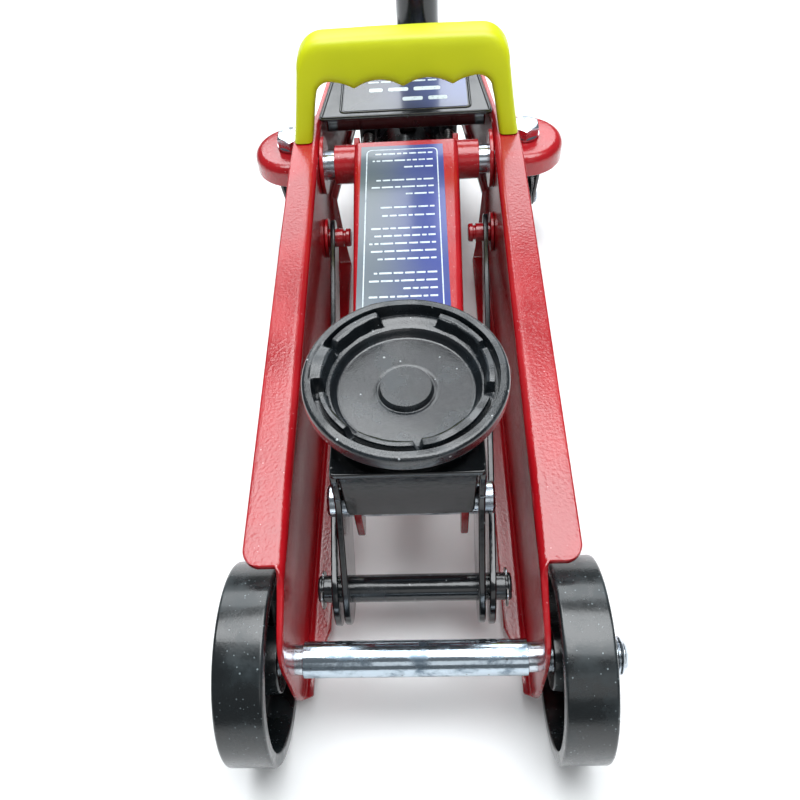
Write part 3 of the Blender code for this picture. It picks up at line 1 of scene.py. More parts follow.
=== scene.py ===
"""Compact hydraulic trolley jack: the finished surfaces and looks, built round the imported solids.

Metres, +Z up. Places along the jack (y) are given from the front axle; `piece` moves them
into the frame. Each shape is worked out with numpy as a surface of two parameters.
"""

from math import cos, pi, radians, sin, sqrt

import bmesh
import bpy
import numpy as np
from mathutils import Matrix, Vector


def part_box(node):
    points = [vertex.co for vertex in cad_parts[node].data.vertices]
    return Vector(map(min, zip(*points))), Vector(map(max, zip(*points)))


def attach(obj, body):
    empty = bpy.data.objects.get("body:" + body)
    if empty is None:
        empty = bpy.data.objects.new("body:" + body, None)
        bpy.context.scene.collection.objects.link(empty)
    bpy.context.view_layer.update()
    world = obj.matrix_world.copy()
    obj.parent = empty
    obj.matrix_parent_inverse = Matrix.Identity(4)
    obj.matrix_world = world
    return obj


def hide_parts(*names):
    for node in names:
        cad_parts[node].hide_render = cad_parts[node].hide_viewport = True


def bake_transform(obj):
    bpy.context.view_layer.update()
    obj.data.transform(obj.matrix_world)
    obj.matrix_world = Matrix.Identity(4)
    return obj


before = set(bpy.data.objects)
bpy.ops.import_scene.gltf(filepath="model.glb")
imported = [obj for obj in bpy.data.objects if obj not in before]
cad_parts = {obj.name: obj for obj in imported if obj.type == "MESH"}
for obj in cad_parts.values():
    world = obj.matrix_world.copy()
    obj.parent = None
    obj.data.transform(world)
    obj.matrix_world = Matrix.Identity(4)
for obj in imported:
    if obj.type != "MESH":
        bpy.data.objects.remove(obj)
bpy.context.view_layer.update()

bpy.context.view_layer.update()


# ------------------------------------------------------------------ measures from the solids
def middle(node):
    low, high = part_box(node)
    return (np.array(low) + np.array(high)) / 2


def size(node):
    low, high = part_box(node)
    return np.array(high) - np.array(low)


AXLE_Y = float(middle("front_axle")[1])


def corner(node, which):
    """Lowest (0) or highest (1) corner of a node, with y from the front axle."""
    at = np.array(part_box(node)[which], float)
    at[1] -= AXLE_Y
    return at


def centre(node):
    return (corner(node, 0) + corner(node, 1)) / 2


PIVOT = centre("main_shaft")
HEAD = centre("bracket_pin")
LINK_FRONT = centre("link_pin")
LINK_REAR = centre("link_stud_right")
CRANK = centre("crank_pin")
RAM = centre("ram_rod")
CREST_Z = corner("side_plate_right", 1)[2]
FLANGE_X = corner("side_plate_right", 1)[0]
REAR_Y = corner("side_plate_right", 1)[1]
WHEEL_R = size("front_wheel_left")[2] / 2
SADDLE = centre("saddle")
SADDLE_TOP = corner("saddle", 1)[2]
SADDLE_R = size("saddle")[0] / 2
SOCKET = centre("handle_lower_tube")
COVER_TOP = corner("cover_plate", 1)[2]
CASTER = centre("caster_bolt_right")
CASTER_AXLE = centre("caster_axle_right")
PLATE_T = 0.003


# ------------------------------------------------------------------ surfaces
def grid_faces(rows, columns, close_rows=False, close_columns=False):
    """Quads between neighbouring points of a grid, which wraps where a direction closes."""
    i = np.arange(rows if close_rows else rows - 1)
    j = np.arange(columns if close_columns else columns - 1)
    a, b = np.meshgrid(i, j, indexing="ij")
    below, beside = (a + 1) % rows, (b + 1) % columns
    quads = np.stack([a * columns + b, a * columns + beside,
                      below * columns + beside, below * columns + b], -1)
    return quads.reshape(-1, 4).tolist()


def soften(corners, radius, count=4, closed=True):
    """Each corner turns into a quadratic curve that starts and ends `radius` from it."""
    points = np.asarray(corners, float)
    back, ahead = np.roll(points, 1, 0) - points, np.roll(points, -1, 0) - points
    back_long = np.linalg.norm(back, axis=1, keepdims=True)
    ahead_long = np.linalg.norm(ahead, axis=1, keepdims=True)
    wanted = np.broadcast_to(np.reshape(radius, (-1, 1)), back_long.shape)
    reach = np.minimum(wanted, 0.46 * np.minimum(back_long, ahead_long))
    start, end = points + back / back_long * reach, points + ahead / ahead_long * reach
    t = np.linspace(0.0, 1.0, count + 1)[None, :, None]
    curve = ((1 - t) ** 2 * start[:, None] + 2 * t * (1 - t) * points[:, None] + t ** 2 * end[:, None])
    if closed:
        return curve.reshape(-1, points.shape[1])
    inner = curve[1:-1].reshape(-1, points.shape[1])
    return np.concatenate([points[:1], inner, points[-1:]])


def arc(a, b, radius, start, end, count):
    """Points round a centre, from one angle to the other in degrees."""
    t = np.radians(np.linspace(start, end, count + 1))
    return np.stack([a + radius * np.cos(t), b + radius * np.sin(t)], -1)


def bar_outline(first, first_r, second, second_r, count=18):
    """A bar with a round end at each of two centres, joined by straight tangents."""
    first, second = np.array(first, float), np.array(second, float)
    run = second - first
    heading = np.degrees(np.arctan2(run[1], run[0]))
    away = sqrt(run @ run - (first_r - second_r) ** 2)
    side = 90.0 - np.degrees(np.arctan2(first_r - second_r, away))
    return np.concatenate([arc(*first, first_r, heading + side, heading + 360 - side, count),
                           arc(*second, second_r, heading - side, heading + side, count)])


def inward(outline, distance):
    """A closed outline moved in by a distance along the mitre of its two sides."""
    ahead = np.roll(outline, -1, 0) - outline
    ahead /= np.maximum(np.linalg.norm(ahead, axis=1, keepdims=True), 1e-9)
    back = np.roll(ahead, 1, 0)
    turn = np.sum((np.roll(outline, -1, 0)[:, 0] - outline[:, 0])
                  * (np.roll(outline, -1, 0)[:, 1] + outline[:, 1]))
    hand = 1.0 if turn > 0 else -1.0
    normal = hand * np.stack([ahead[:, 1] + back[:, 1], -ahead[:, 0] - back[:, 0]], -1) / 2
    sharp = np.maximum(np.sum(normal ** 2, axis=1, keepdims=True), 0.35)
    return outline + normal / sharp * distance


def lathe(profile, steps=96, ring=False):
    """A profile of (radius, height) carried round its height axis."""
    radius, height = np.asarray(profile, float).T
    t = np.linspace(0.0, 2 * pi, steps, endpoint=False)
    points = np.stack([radius[:, None] * np.cos(t), radius[:, None] * np.sin(t),
                       np.repeat(height[:, None], steps, 1)], -1)
    return points.reshape(-1, 3), grid_faces(len(radius), steps, ring, True)


def slab(outline, low, high, edge=0.0006, low_edge=None, rows=4):
    """An outline carried through its thickness; each rim is a quarter round of radius `edge`."""
    low_edge = edge if low_edge is None else low_edge
    t = np.linspace(0.0, pi / 2, rows)
    insets = np.concatenate([edge * (1 - np.sin(t)), low_edge * (1 - np.sin(t[::-1]))])
    heights = np.concatenate([high - edge * (1 - np.cos(t)), low + low_edge * (1 - np.cos(t[::-1]))])
    outline = np.asarray(outline, float)
    rings = [np.column_stack([inward(outline, inset), np.full(len(outline), height)])
             for inset, height in zip(insets, heights)]
    count = len(outline)
    faces = grid_faces(len(rings), count, False, True)
    last = (len(rings) - 1) * count
    faces += [list(range(count)), list(range(last, last + count))]
    return np.concatenate(rings), faces


def hex_prism(across_flats, low, high, washer=0.0):
    """A bolt head: radius follows a hexagon, and its top falls away at 30 degrees past the flats."""
    t = np.linspace(0.0, 2 * pi, 96, endpoint=False)
    side = across_flats / 2 / np.cos((t + pi / 6) % (pi / 3) - pi / 6)
    flat = across_flats / 2 * 0.93
    rows = [(np.zeros_like(t), np.full_like(t, high)), (np.full_like(t, flat), np.full_like(t, high))]
    for share in (0.35, 0.7, 1.0):
        radius = flat + (side - flat) * share
        rows.append((radius, high - (radius - flat) * 0.58))
    rows.append((side, np.full_like(t, low)))
    if washer:
        rows += [(np.full_like(t, washer), np.full_like(t, low)),
                 (np.full_like(t, washer), np.full_like(t, low - 0.0012))]
    rows.append((np.zeros_like(t), rows[-1][1]))
    points = np.concatenate([np.stack([r * np.cos(t), r * np.sin(t), h], -1) for r, h in rows])
    return points, grid_faces(len(rows), len(t), False, True)


def sweep(path, radius, sides=8, closed=False):
    """A round wire: a circle carried along a path, square to it."""
    path = np.asarray(path, float)
    ahead = np.roll(path, -1, 0) - np.roll(path, 1, 0)
    if not closed:
        ahead[0], ahead[-1] = path[1] - path[0], path[-1] - path[-2]
    ahead /= np.linalg.norm(ahead, axis=1, keepdims=True)
    guide = np.where(np.abs(ahead[:, 2:3]) < 0.9, [[0.0, 0.0, 1.0]], [[1.0, 0.0, 0.0]])
    one = np.cross(ahead, guide)
    one /= np.linalg.norm(one, axis=1, keepdims=True)
    two = np.cross(ahead, one)
    t = np.linspace(0.0, 2 * pi, sides, endpoint=False)[None, :, None]
    points = path[:, None] + radius * (one[:, None] * np.cos(t) + two[:, None] * np.sin(t))
    faces = grid_faces(len(path), sides, closed, True)
    if not closed:
        last = (len(path) - 1) * sides
        faces += [list(range(sides)), list(range(last, last + sides))]
    return points.reshape(-1, 3), faces


def clip_ring(radius, thickness, height, gap_deg=70.0):
    """A retaining clip: an open ring, thick opposite its gap, as an outline made a slab."""
    t = np.radians(np.linspace(gap_deg / 2, 360 - gap_deg / 2, 40))
    inner = np.stack([radius * 0.82 * np.cos(t), radius * 0.82 * np.sin(t)], -1)
    wide = radius * (1.45 - 0.12 * np.cos(t))[:, None]
    outer = np.stack([np.cos(t), np.sin(t)], -1) * wide
    return slab(np.concatenate([outer, inner[::-1]]), height, height + thickness, 0.0002, rows=2)


def facing_x(shape):
    """An outline drawn in (y, z), thick along x."""
    points, faces = shape
    return points[:, [2, 0, 1]], faces


def along_x(shape, y, z, side=1, x=0.0):
    """A turned shape laid along x, its height axis pointing to that side."""
    points, faces = shape
    return np.stack([x + side * points[:, 2], y + points[:, 0], z + points[:, 1]], -1), faces


def along_y(shape, x, z):
    points, faces = shape
    return np.stack([x + points[:, 0], points[:, 2], z + points[:, 1]], -1), faces


def upright(shape, x, y, z=0.0):
    points, faces = shape
    return points + np.array([x, y, z]), faces


def mirrored(shape):
    points, faces = shape
    return points * np.array([-1.0, 1.0, 1.0]), faces


def on_side(shape, side):
    return shape if side > 0 else mirrored(shape)


def together(*shapes):
    """Several closed surfaces in one piece."""
    points, faces, start = [], [], 0
    for more, quads in shapes:
        points.append(more)
        faces += [[corner_ + start for corner_ in face] for face in quads]
        start += len(more)
    return np.concatenate(points), faces


def piece(name, shape, look, body, stands_for=(), sharp=40.0, finish=True):
    """Makes a piece in place, welds its seams, turns its faces out and rides it on a body."""
    points, faces = shape
    points = np.array(points, float)
    points[:, 1] += AXLE_Y
    mesh = bpy.data.meshes.new(name)
    mesh.from_pydata(points.tolist(), [], faces)
    edit = bmesh.new()
    edit.from_mesh(mesh)
    bmesh.ops.remove_doubles(edit, verts=edit.verts, dist=2e-6)
    bmesh.ops.dissolve_degenerate(edit, edges=edit.edges, dist=1e-6)
    bmesh.ops.recalc_face_normals(edit, faces=edit.faces)
    edit.to_mesh(mesh)
    edit.free()
    mesh.shade_smooth()
    mesh.set_sharp_from_angle(angle=radians(sharp))
    obj = bpy.data.objects.new(name, mesh)
    bpy.context.scene.collection.objects.link(obj)
    material, record_slot = look
    mesh.materials.append(material)
    if finish:
        even(obj)
    if body:
        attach(obj, body)
    if stands_for:
        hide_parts(*([stands_for] if isinstance(stands_for, str) else stands_for))
    return obj


def even(obj):
    """Keeps flat faces flat beside their rounded rims."""
    weighted = obj.modifiers.new("even", "WEIGHTED_NORMAL")
    weighted.keep_sharp = True


# ------------------------------------------------------------------ finishes
def add(tree, kind, settings=None, **inputs):
    """A node with its settings, and inputs given as values or as sockets to link."""
    node = tree.nodes.new(kind)
    for key, value in (settings or {}).items():
        setattr(node, key, value)
    for key, value in inputs.items():
        socket = node.inputs[int(key[1:])] if key[0] == "i" and key[1:].isdigit() else node.inputs[key]
        if isinstance(value, bpy.types.NodeSocket):
            tree.links.new(value, socket)
        else:
            socket.default_value = value
    return node


def group(name, inputs, outputs):
    """A node group with named inputs and outputs: (name, kind, default) and (name, kind)."""
    tree = bpy.data.node_groups.new(name, "ShaderNodeTree")
    for label, kind, default in inputs:
        made = tree.interface.new_socket(label, in_out="INPUT", socket_type="NodeSocket" + kind)
        if default is not None:
            made.default_value = default
    for label, kind in outputs:
        tree.interface.new_socket(label, in_out="OUTPUT", socket_type="NodeSocket" + kind)
    return tree, tree.nodes.new("NodeGroupInput"), tree.nodes.new("NodeGroupOutput")


def make_relief():
    """Bumps of one size, such as the orange peel of a coating or the skin of a casting."""
    tree, given, out = group("relief", [("Vector", "Vector", None), ("Scale", "Float", 600.0),
                                        ("Depth", "Float", 0.2), ("Detail", "Float", 2.0),
                                        ("Normal", "Vector", None)],
                            [("Normal", "Vector"), ("Height", "Float")])
    noise = add(tree, "ShaderNodeTexNoise", Vector=given.outputs["Vector"], Scale=given.outputs["Scale"],
                Detail=given.outputs["Detail"], Roughness=0.45)
    bump = add(tree, "ShaderNodeBump", Strength=given.outputs["Depth"], Distance=0.0004,
               Height=noise.outputs["Fac"])
    tree.links.new(bump.outputs["Normal"], out.inputs["Normal"])
    tree.links.new(noise.outputs["Fac"], out.inputs["Height"])
    return tree


def make_patches():
    """A soft-edged mask: noise between two levels."""
    tree, given, out = group("patches", [("Vector", "Vector", None), ("Scale", "Float", 40.0),
                                         ("From", "Float", 0.45), ("To", "Float", 0.6),
                                         ("Detail", "Float", 5.0)], [("Mask", "Float")])
    noise = add(tree, "ShaderNodeTexNoise", Vector=given.outputs["Vector"], Scale=given.outputs["Scale"],
                Detail=given.outputs["Detail"], Roughness=0.6)
    ramp = add(tree, "ShaderNodeMapRange", {"interpolation_type": "SMOOTHSTEP"}, Value=noise.outputs["Fac"],
               **{"From Min": given.outputs["From"], "From Max": given.outputs["To"]})
    tree.links.new(ramp.outputs["Result"], out.inputs["Mask"])
    return tree


def make_specks():
    """Dust and small scuffs: a few of a cell pattern's cells hold a dot near their centre."""
    tree, given, out = group("specks", [("Vector", "Vector", None), ("Scale", "Float", 300.0),
                                        ("Share", "Float", 0.1), ("Size", "Float", 0.3)], [("Mask", "Float")])
    cells = add(tree, "ShaderNodeTexVoronoi", Vector=given.outputs["Vector"], Scale=given.outputs["Scale"])
    chosen = add(tree, "ShaderNodeSeparateColor", Color=cells.outputs["Color"])
    few = add(tree, "ShaderNodeMath", {"operation": "LESS_THAN"}, i0=chosen.outputs["Red"],
              i1=given.outputs["Share"])
    wide = add(tree, "ShaderNodeMath", {"operation": "MULTIPLY"}, i0=chosen.outputs["Green"],
               i1=given.outputs["Size"])
    near = add(tree, "ShaderNodeMath", {"operation": "LESS_THAN"}, i0=cells.outputs["Distance"],
               i1=wide.outputs["Value"])
    both = add(tree, "ShaderNodeMath", {"operation": "MULTIPLY"}, i0=few.outputs["Value"],
               i1=near.outputs["Value"])
    tree.links.new(both.outputs["Value"], out.inputs["Mask"])
    return tree


RELIEF, PATCHES, SPECKS = make_relief(), make_patches(), make_specks()


def place(tree, shared, **inputs):
    node = add(tree, "ShaderNodeGroup", {"node_tree": shared})
    for key, value in inputs.items():
        if isinstance(value, bpy.types.NodeSocket):
            tree.links.new(value, node.inputs[key])
        else:
            node.inputs[key].default_value = value
    return node


def start_look(name, roughness, metallic=0.0, **sockets):
    """A material with its shader, and its coordinates on the object."""
    made = bpy.data.materials.new(name)
    made.use_nodes = True
    tree = made.node_tree
    shader = tree.nodes["Principled BSDF"]
    shader.inputs["Roughness"].default_value = roughness
    shader.inputs["Metallic"].default_value = metallic
    for key, value in sockets.items():
        shader.inputs[key.replace("_", " ")].default_value = value
    where = add(tree, "ShaderNodeTexCoord")
    return made, tree, shader, where.outputs["Object"]


def stretched(tree, at, scale):
    return add(tree, "ShaderNodeMapping", Vector=at, Scale=scale).outputs["Vector"]


def tint(tree, factor, first, second):
    """A mix of two colours, each a value or a socket."""
    node = add(tree, "ShaderNodeMix", {"data_type": "RGBA"})
    tree.links.new(factor, node.inputs[0])
    for index, colour in ((6, first), (7, second)):
        if isinstance(colour, bpy.types.NodeSocket):
            tree.links.new(colour, node.inputs[index])
        else:
            node.inputs[index].default_value = (*colour, 1.0)
    return node.outputs[2]


def level(tree, factor, low, high):
    """A number that goes from one value to another with a mask."""
    node = add(tree, "ShaderNodeMapRange", Value=factor, **{"To Min": low, "To Max": high})
    return node.outputs["Result"]


def red_coating(name="red_powder_coat", peel=0.46, scale=700.0):
    """Thick gloss powder coat: orange peel, a slow change of tone and a little pale dust."""
    made, tree, shader, at = start_look(name, 0.26, Coat_Weight=0.35, Coat_Roughness=0.12,
                                        Specular_IOR_Level=0.5)
    slow = place(tree, PATCHES, Vector=at, Scale=22.0, From=0.35, To=0.65, Detail=3.0)
    dust = place(tree, SPECKS, Vector=at, Scale=620.0, Share=0.16, Size=0.17)
    base = tint(tree, slow.outputs["Mask"], (0.330, 0.0036, 0.0080), (0.420, 0.0060, 0.0115))
    tree.links.new(tint(tree, dust.outputs["Mask"], base, (0.72, 0.26, 0.27)), shader.inputs["Base Color"])
    skin = place(tree, RELIEF, Vector=at, Scale=scale, Depth=peel, Detail=1.5)
    tree.links.new(skin.outputs["Normal"], shader.inputs["Normal"])
    tree.links.new(level(tree, slow.outputs["Mask"], 0.18, 0.27), shader.inputs["Roughness"])
    return made


def black_enamel(name, colour=(0.004, 0.005, 0.006), roughness=0.13, peel=0.14, scale=380.0, dusty=0.03):
    """Dipped black enamel: runs and small dust nibs."""
    made, tree, shader, at = start_look(name, roughness, Coat_Weight=0.3, Coat_Roughness=0.08)
    dust = place(tree, SPECKS, Vector=at, Scale=420.0, Share=dusty, Size=0.22)
    haze = place(tree, PATCHES, Vector=at, Scale=55.0, From=0.42, To=0.72, Detail=4.0)
    base = tint(tree, haze.outputs["Mask"], colour, tuple(2.1 * part for part in colour))
    tree.links.new(tint(tree, dust.outputs["Mask"], base, (0.22, 0.23, 0.24)), shader.inputs["Base Color"])
    tree.links.new(level(tree, haze.outputs["Mask"], roughness, roughness + 0.14), shader.inputs["Roughness"])
    skin = place(tree, RELIEF, Vector=at, Scale=scale, Depth=peel, Detail=2.0)
    tree.links.new(skin.outputs["Normal"], shader.inputs["Normal"])
    return made


def cast_enamel():
    """Satin enamel over a casting: sandy skin, bare grey nibs where it has been knocked."""
    made, tree, shader, at = start_look("black_cast_enamel", 0.26, Coat_Weight=0.45, Coat_Roughness=0.12)
    slow = place(tree, PATCHES, Vector=at, Scale=60.0, From=0.4, To=0.68, Detail=6.0)
    nibs = place(tree, SPECKS, Vector=at, Scale=420.0, Share=0.10, Size=0.24)
    base = tint(tree, slow.outputs["Mask"], (0.006, 0.008, 0.010), (0.014, 0.020, 0.025))
    tree.links.new(tint(tree, nibs.outputs["Mask"], base, (0.33, 0.35, 0.36)), shader.inputs["Base Color"])
    tree.links.new(level(tree, slow.outputs["Mask"], 0.20, 0.34), shader.inputs["Roughness"])
    fine = place(tree, RELIEF, Vector=at, Scale=1500.0, Depth=0.25, Detail=3.0)
    coarse = place(tree, RELIEF, Vector=at, Scale=260.0, Depth=0.25, Detail=2.0)
    height = add(tree, "ShaderNodeMath", {"operation": "ADD"}, i0=fine.outputs["Height"],
                 i1=coarse.outputs["Height"])
    bump = add(tree, "ShaderNodeBump", Strength=0.42, Distance=0.0004, Height=height.outputs["Value"])
    tree.links.new(bump.outputs["Normal"], shader.inputs["Normal"])
    return made


def wheel_plastic():
    """Hard black moulding: pale scuffs and dust, denser in patches, and faint flow marks."""
    made, tree, shader, at = start_look("wheel_plastic", 0.22, Coat_Weight=0.3, Coat_Roughness=0.12)
    scuffed = place(tree, PATCHES, Vector=at, Scale=48.0, From=0.44, To=0.70, Detail=8.0)
    dots = place(tree, SPECKS, Vector=at, Scale=760.0, Share=0.30, Size=0.30)
    marks = place(tree, SPECKS, Vector=stretched(tree, at, (1.0, 0.35, 0.25)), Scale=330.0,
                  Share=0.035, Size=0.35)
    worn = add(tree, "ShaderNodeMath", {"operation": "MAXIMUM"}, i0=dots.outputs["Mask"],
               i1=marks.outputs["Mask"])
    shown = add(tree, "ShaderNodeMath", {"operation": "MULTIPLY"}, i0=worn.outputs["Value"],
                i1=level(tree, scuffed.outputs["Mask"], 0.25, 1.0))
    base = tint(tree, scuffed.outputs["Mask"], (0.007, 0.009, 0.010), (0.020, 0.029, 0.033))
    tree.links.new(tint(tree, shown.outputs["Value"], base, (0.30, 0.36, 0.38)), shader.inputs["Base Color"])
    tree.links.new(level(tree, scuffed.outputs["Mask"], 0.22, 0.46), shader.inputs["Roughness"])
    skin = place(tree, RELIEF, Vector=at, Scale=900.0, Depth=0.10, Detail=4.0)
    tree.links.new(skin.outputs["Normal"], shader.inputs["Normal"])
    return made


def yellow_moulding():
    """Satin moulded plastic with a fine spark-eroded grain."""
    made, tree, shader, at = start_look("yellow_moulding", 0.40, Subsurface_Weight=0.0)
    slow = place(tree, PATCHES, Vector=at, Scale=18.0, From=0.3, To=0.7, Detail=2.0)
    tree.links.new(tint(tree, slow.outputs["Mask"], (0.56, 0.61, 0.001), (0.63, 0.67, 0.002)),
                   shader.inputs["Base Color"])
    skin = place(tree, RELIEF, Vector=at, Scale=1700.0, Depth=0.10, Detail=2.0)
    tree.links.new(skin.outputs["Normal"], shader.inputs["Normal"])
    return made


def plated(name="zinc_plating", bright=(0.58, 0.63, 0.68), dull=(0.24, 0.28, 0.33), low=0.16, high=0.40):
    """Bright zinc: bluish, clouded by handling, with drawn lines and small pits."""
    made, tree, shader, at = start_look(name, 0.25, 1.0)
    clouds = place(tree, PATCHES, Vector=stretched(tree, at, (1.0, 1.6, 1.6)), Scale=85.0,
                   From=0.46, To=0.66, Detail=8.0)
    pits = place(tree, SPECKS, Vector=at, Scale=520.0, Share=0.22, Size=0.26)
    base = tint(tree, clouds.outputs["Mask"], bright, dull)
    tree.links.new(tint(tree, pits.outputs["Mask"], base, (0.16, 0.17, 0.18)), shader.inputs["Base Color"])
    tree.links.new(level(tree, clouds.outputs["Mask"], low, high), shader.inputs["Roughness"])
    skin = place(tree, RELIEF, Vector=at, Scale=700.0, Depth=0.07, Detail=3.0)
    tree.links.new(skin.outputs["Normal"], shader.inputs["Normal"])
    return made


def soft_rubber():
    made, tree, shader, at = start_look("soft_rubber", 0.72)
    dust = place(tree, PATCHES, Vector=at, Scale=70.0, From=0.4, To=0.8, Detail=6.0)
    tree.links.new(tint(tree, dust.outputs["Mask"], (0.018, 0.018, 0.019), (0.045, 0.045, 0.047)),
                   shader.inputs["Base Color"])
    skin = place(tree, RELIEF, Vector=at, Scale=1300.0, Depth=0.22, Detail=3.0)
    tree.links.new(skin.outputs["Normal"], shader.inputs["Normal"])
    return made


def label_print(name, left, right, low_x, high_x):
    """A printed film: its colour runs from one side to the other, under a clear coat."""
    made, tree, shader, at = start_look(name, 0.22, Coat_Weight=0.5, Coat_Roughness=0.1)
    split = add(tree, "ShaderNodeSeparateXYZ", Vector=at)
    across = add(tree, "ShaderNodeMapRange", {"interpolation_type": "SMOOTHSTEP"}, Value=split.outputs["X"],
                 **{"From Min": low_x, "From Max": high_x})
    clouds = place(tree, PATCHES, Vector=at, Scale=25.0, From=0.35, To=0.7, Detail=2.0)
    base = tint(tree, across.outputs["Result"], left, right)
    tree.links.new(tint(tree, level(tree, clouds.outputs["Mask"], 0.0, 0.25), base, (0.10, 0.12, 0.16)),
                   shader.inputs["Base Color"])
    skin = place(tree, RELIEF, Vector=at, Scale=120.0, Depth=0.05, Detail=1.0)
    tree.links.new(skin.outputs["Normal"], shader.inputs["Normal"])
    return made


def label_ink():
    made, tree, shader, at = start_look("label_ink", 0.35)
    wear = place(tree, PATCHES, Vector=at, Scale=500.0, From=0.25, To=0.5, Detail=2.0)
    tree.links.new(tint(tree, wear.outputs["Mask"], (0.36, 0.42, 0.46), (0.62, 0.70, 0.74)),
                   shader.inputs["Base Color"])
    return made


RED = (red_coating(), "red_paint")
BLACK = (black_enamel("black_enamel"), "black_paint")
COVER_BLACK = (black_enamel("cover_plastic", (0.005, 0.006, 0.007), 0.16, 0.06, 900.0, 0.02), "black_plastic")
TUBE_BLACK = (black_enamel("tube_enamel", (0.008, 0.011, 0.013), 0.18, 0.08, 500.0, 0.02), "black_paint")
CAST = (cast_enamel(), "black_cast")
WHEEL = (wheel_plastic(), "black_plastic")
YELLOW = (yellow_moulding(), "yellow_plastic")
ZINC = (plated(), "zinc_plate")
STEEL = (plated("ground_steel", (0.56, 0.56, 0.55), (0.30, 0.29, 0.28), 0.24, 0.40), "bare_steel")
RUBBER = (soft_rubber(), "rubber")
FRAME_BODY = "frame"


# ------------------------------------------------------------------ pressed sheet
RIM = np.linspace(0.0, pi / 2, 4)


def edged(start, end, radius, count):
    """Distances across a sheet: bunched over each rounded edge, even between them."""
    near = radius * (1 - np.cos(RIM))
    return np.concatenate([start + near, np.linspace(start + radius, end - radius, count)[1:-1],
                           end - near[::-1]])


def shell(face, normal, thickness, edge=0.0008):
    """A pressed plate: its face, the same surface a thickness behind, and quarter-round rims.

    The first and last four rows and columns of the face lie over those rims.
    """
    rows, columns = face.shape[:2]
    fall = edge * (1 - np.sin(RIM))
    row_fall, column_fall = np.zeros(rows), np.zeros(columns)
    for drop in (row_fall, column_fall):
        drop[:4], drop[-4:] = fall, fall[::-1]
    depth = np.maximum(row_fall[:, None], column_fall[None, :])[..., None]
    points = np.concatenate([face - normal * depth, (face - normal * (thickness - depth))[:, ::-1]], 1)
    wide = 2 * columns
    faces = grid_faces(rows, wide, False, True)
    i = np.arange(columns - 1)
    cap = np.stack([i, i + 1, wide - 2 - i, wide - 1 - i], -1)
    faces += cap.tolist() + (cap + (rows - 1) * wide).tolist()
    return points.reshape(-1, 3), faces


# ------------------------------------------------------------------ side plates
NOSE_DOWN = (0.0, 0.05, 0.09, 0.15, 0.28, 0.84, 1.0)
NOSE_OUT = (0.10, 0.45, 0.76, 0.93, 1.0, 1.0, 0.90)
NOSE_REACH = 0.034
WEB_X = 0.0545
WEB_TAPER = 0.12         # closing in, to a metre
TAPER_Y = 0.303          # where it starts
BOTTOM_Z = 0.010


def web_outer(y):
    """The web's outer face, which closes in towards the rear."""
    return WEB_X - WEB_TAPER * np.maximum(0.0, y - TAPER_Y)


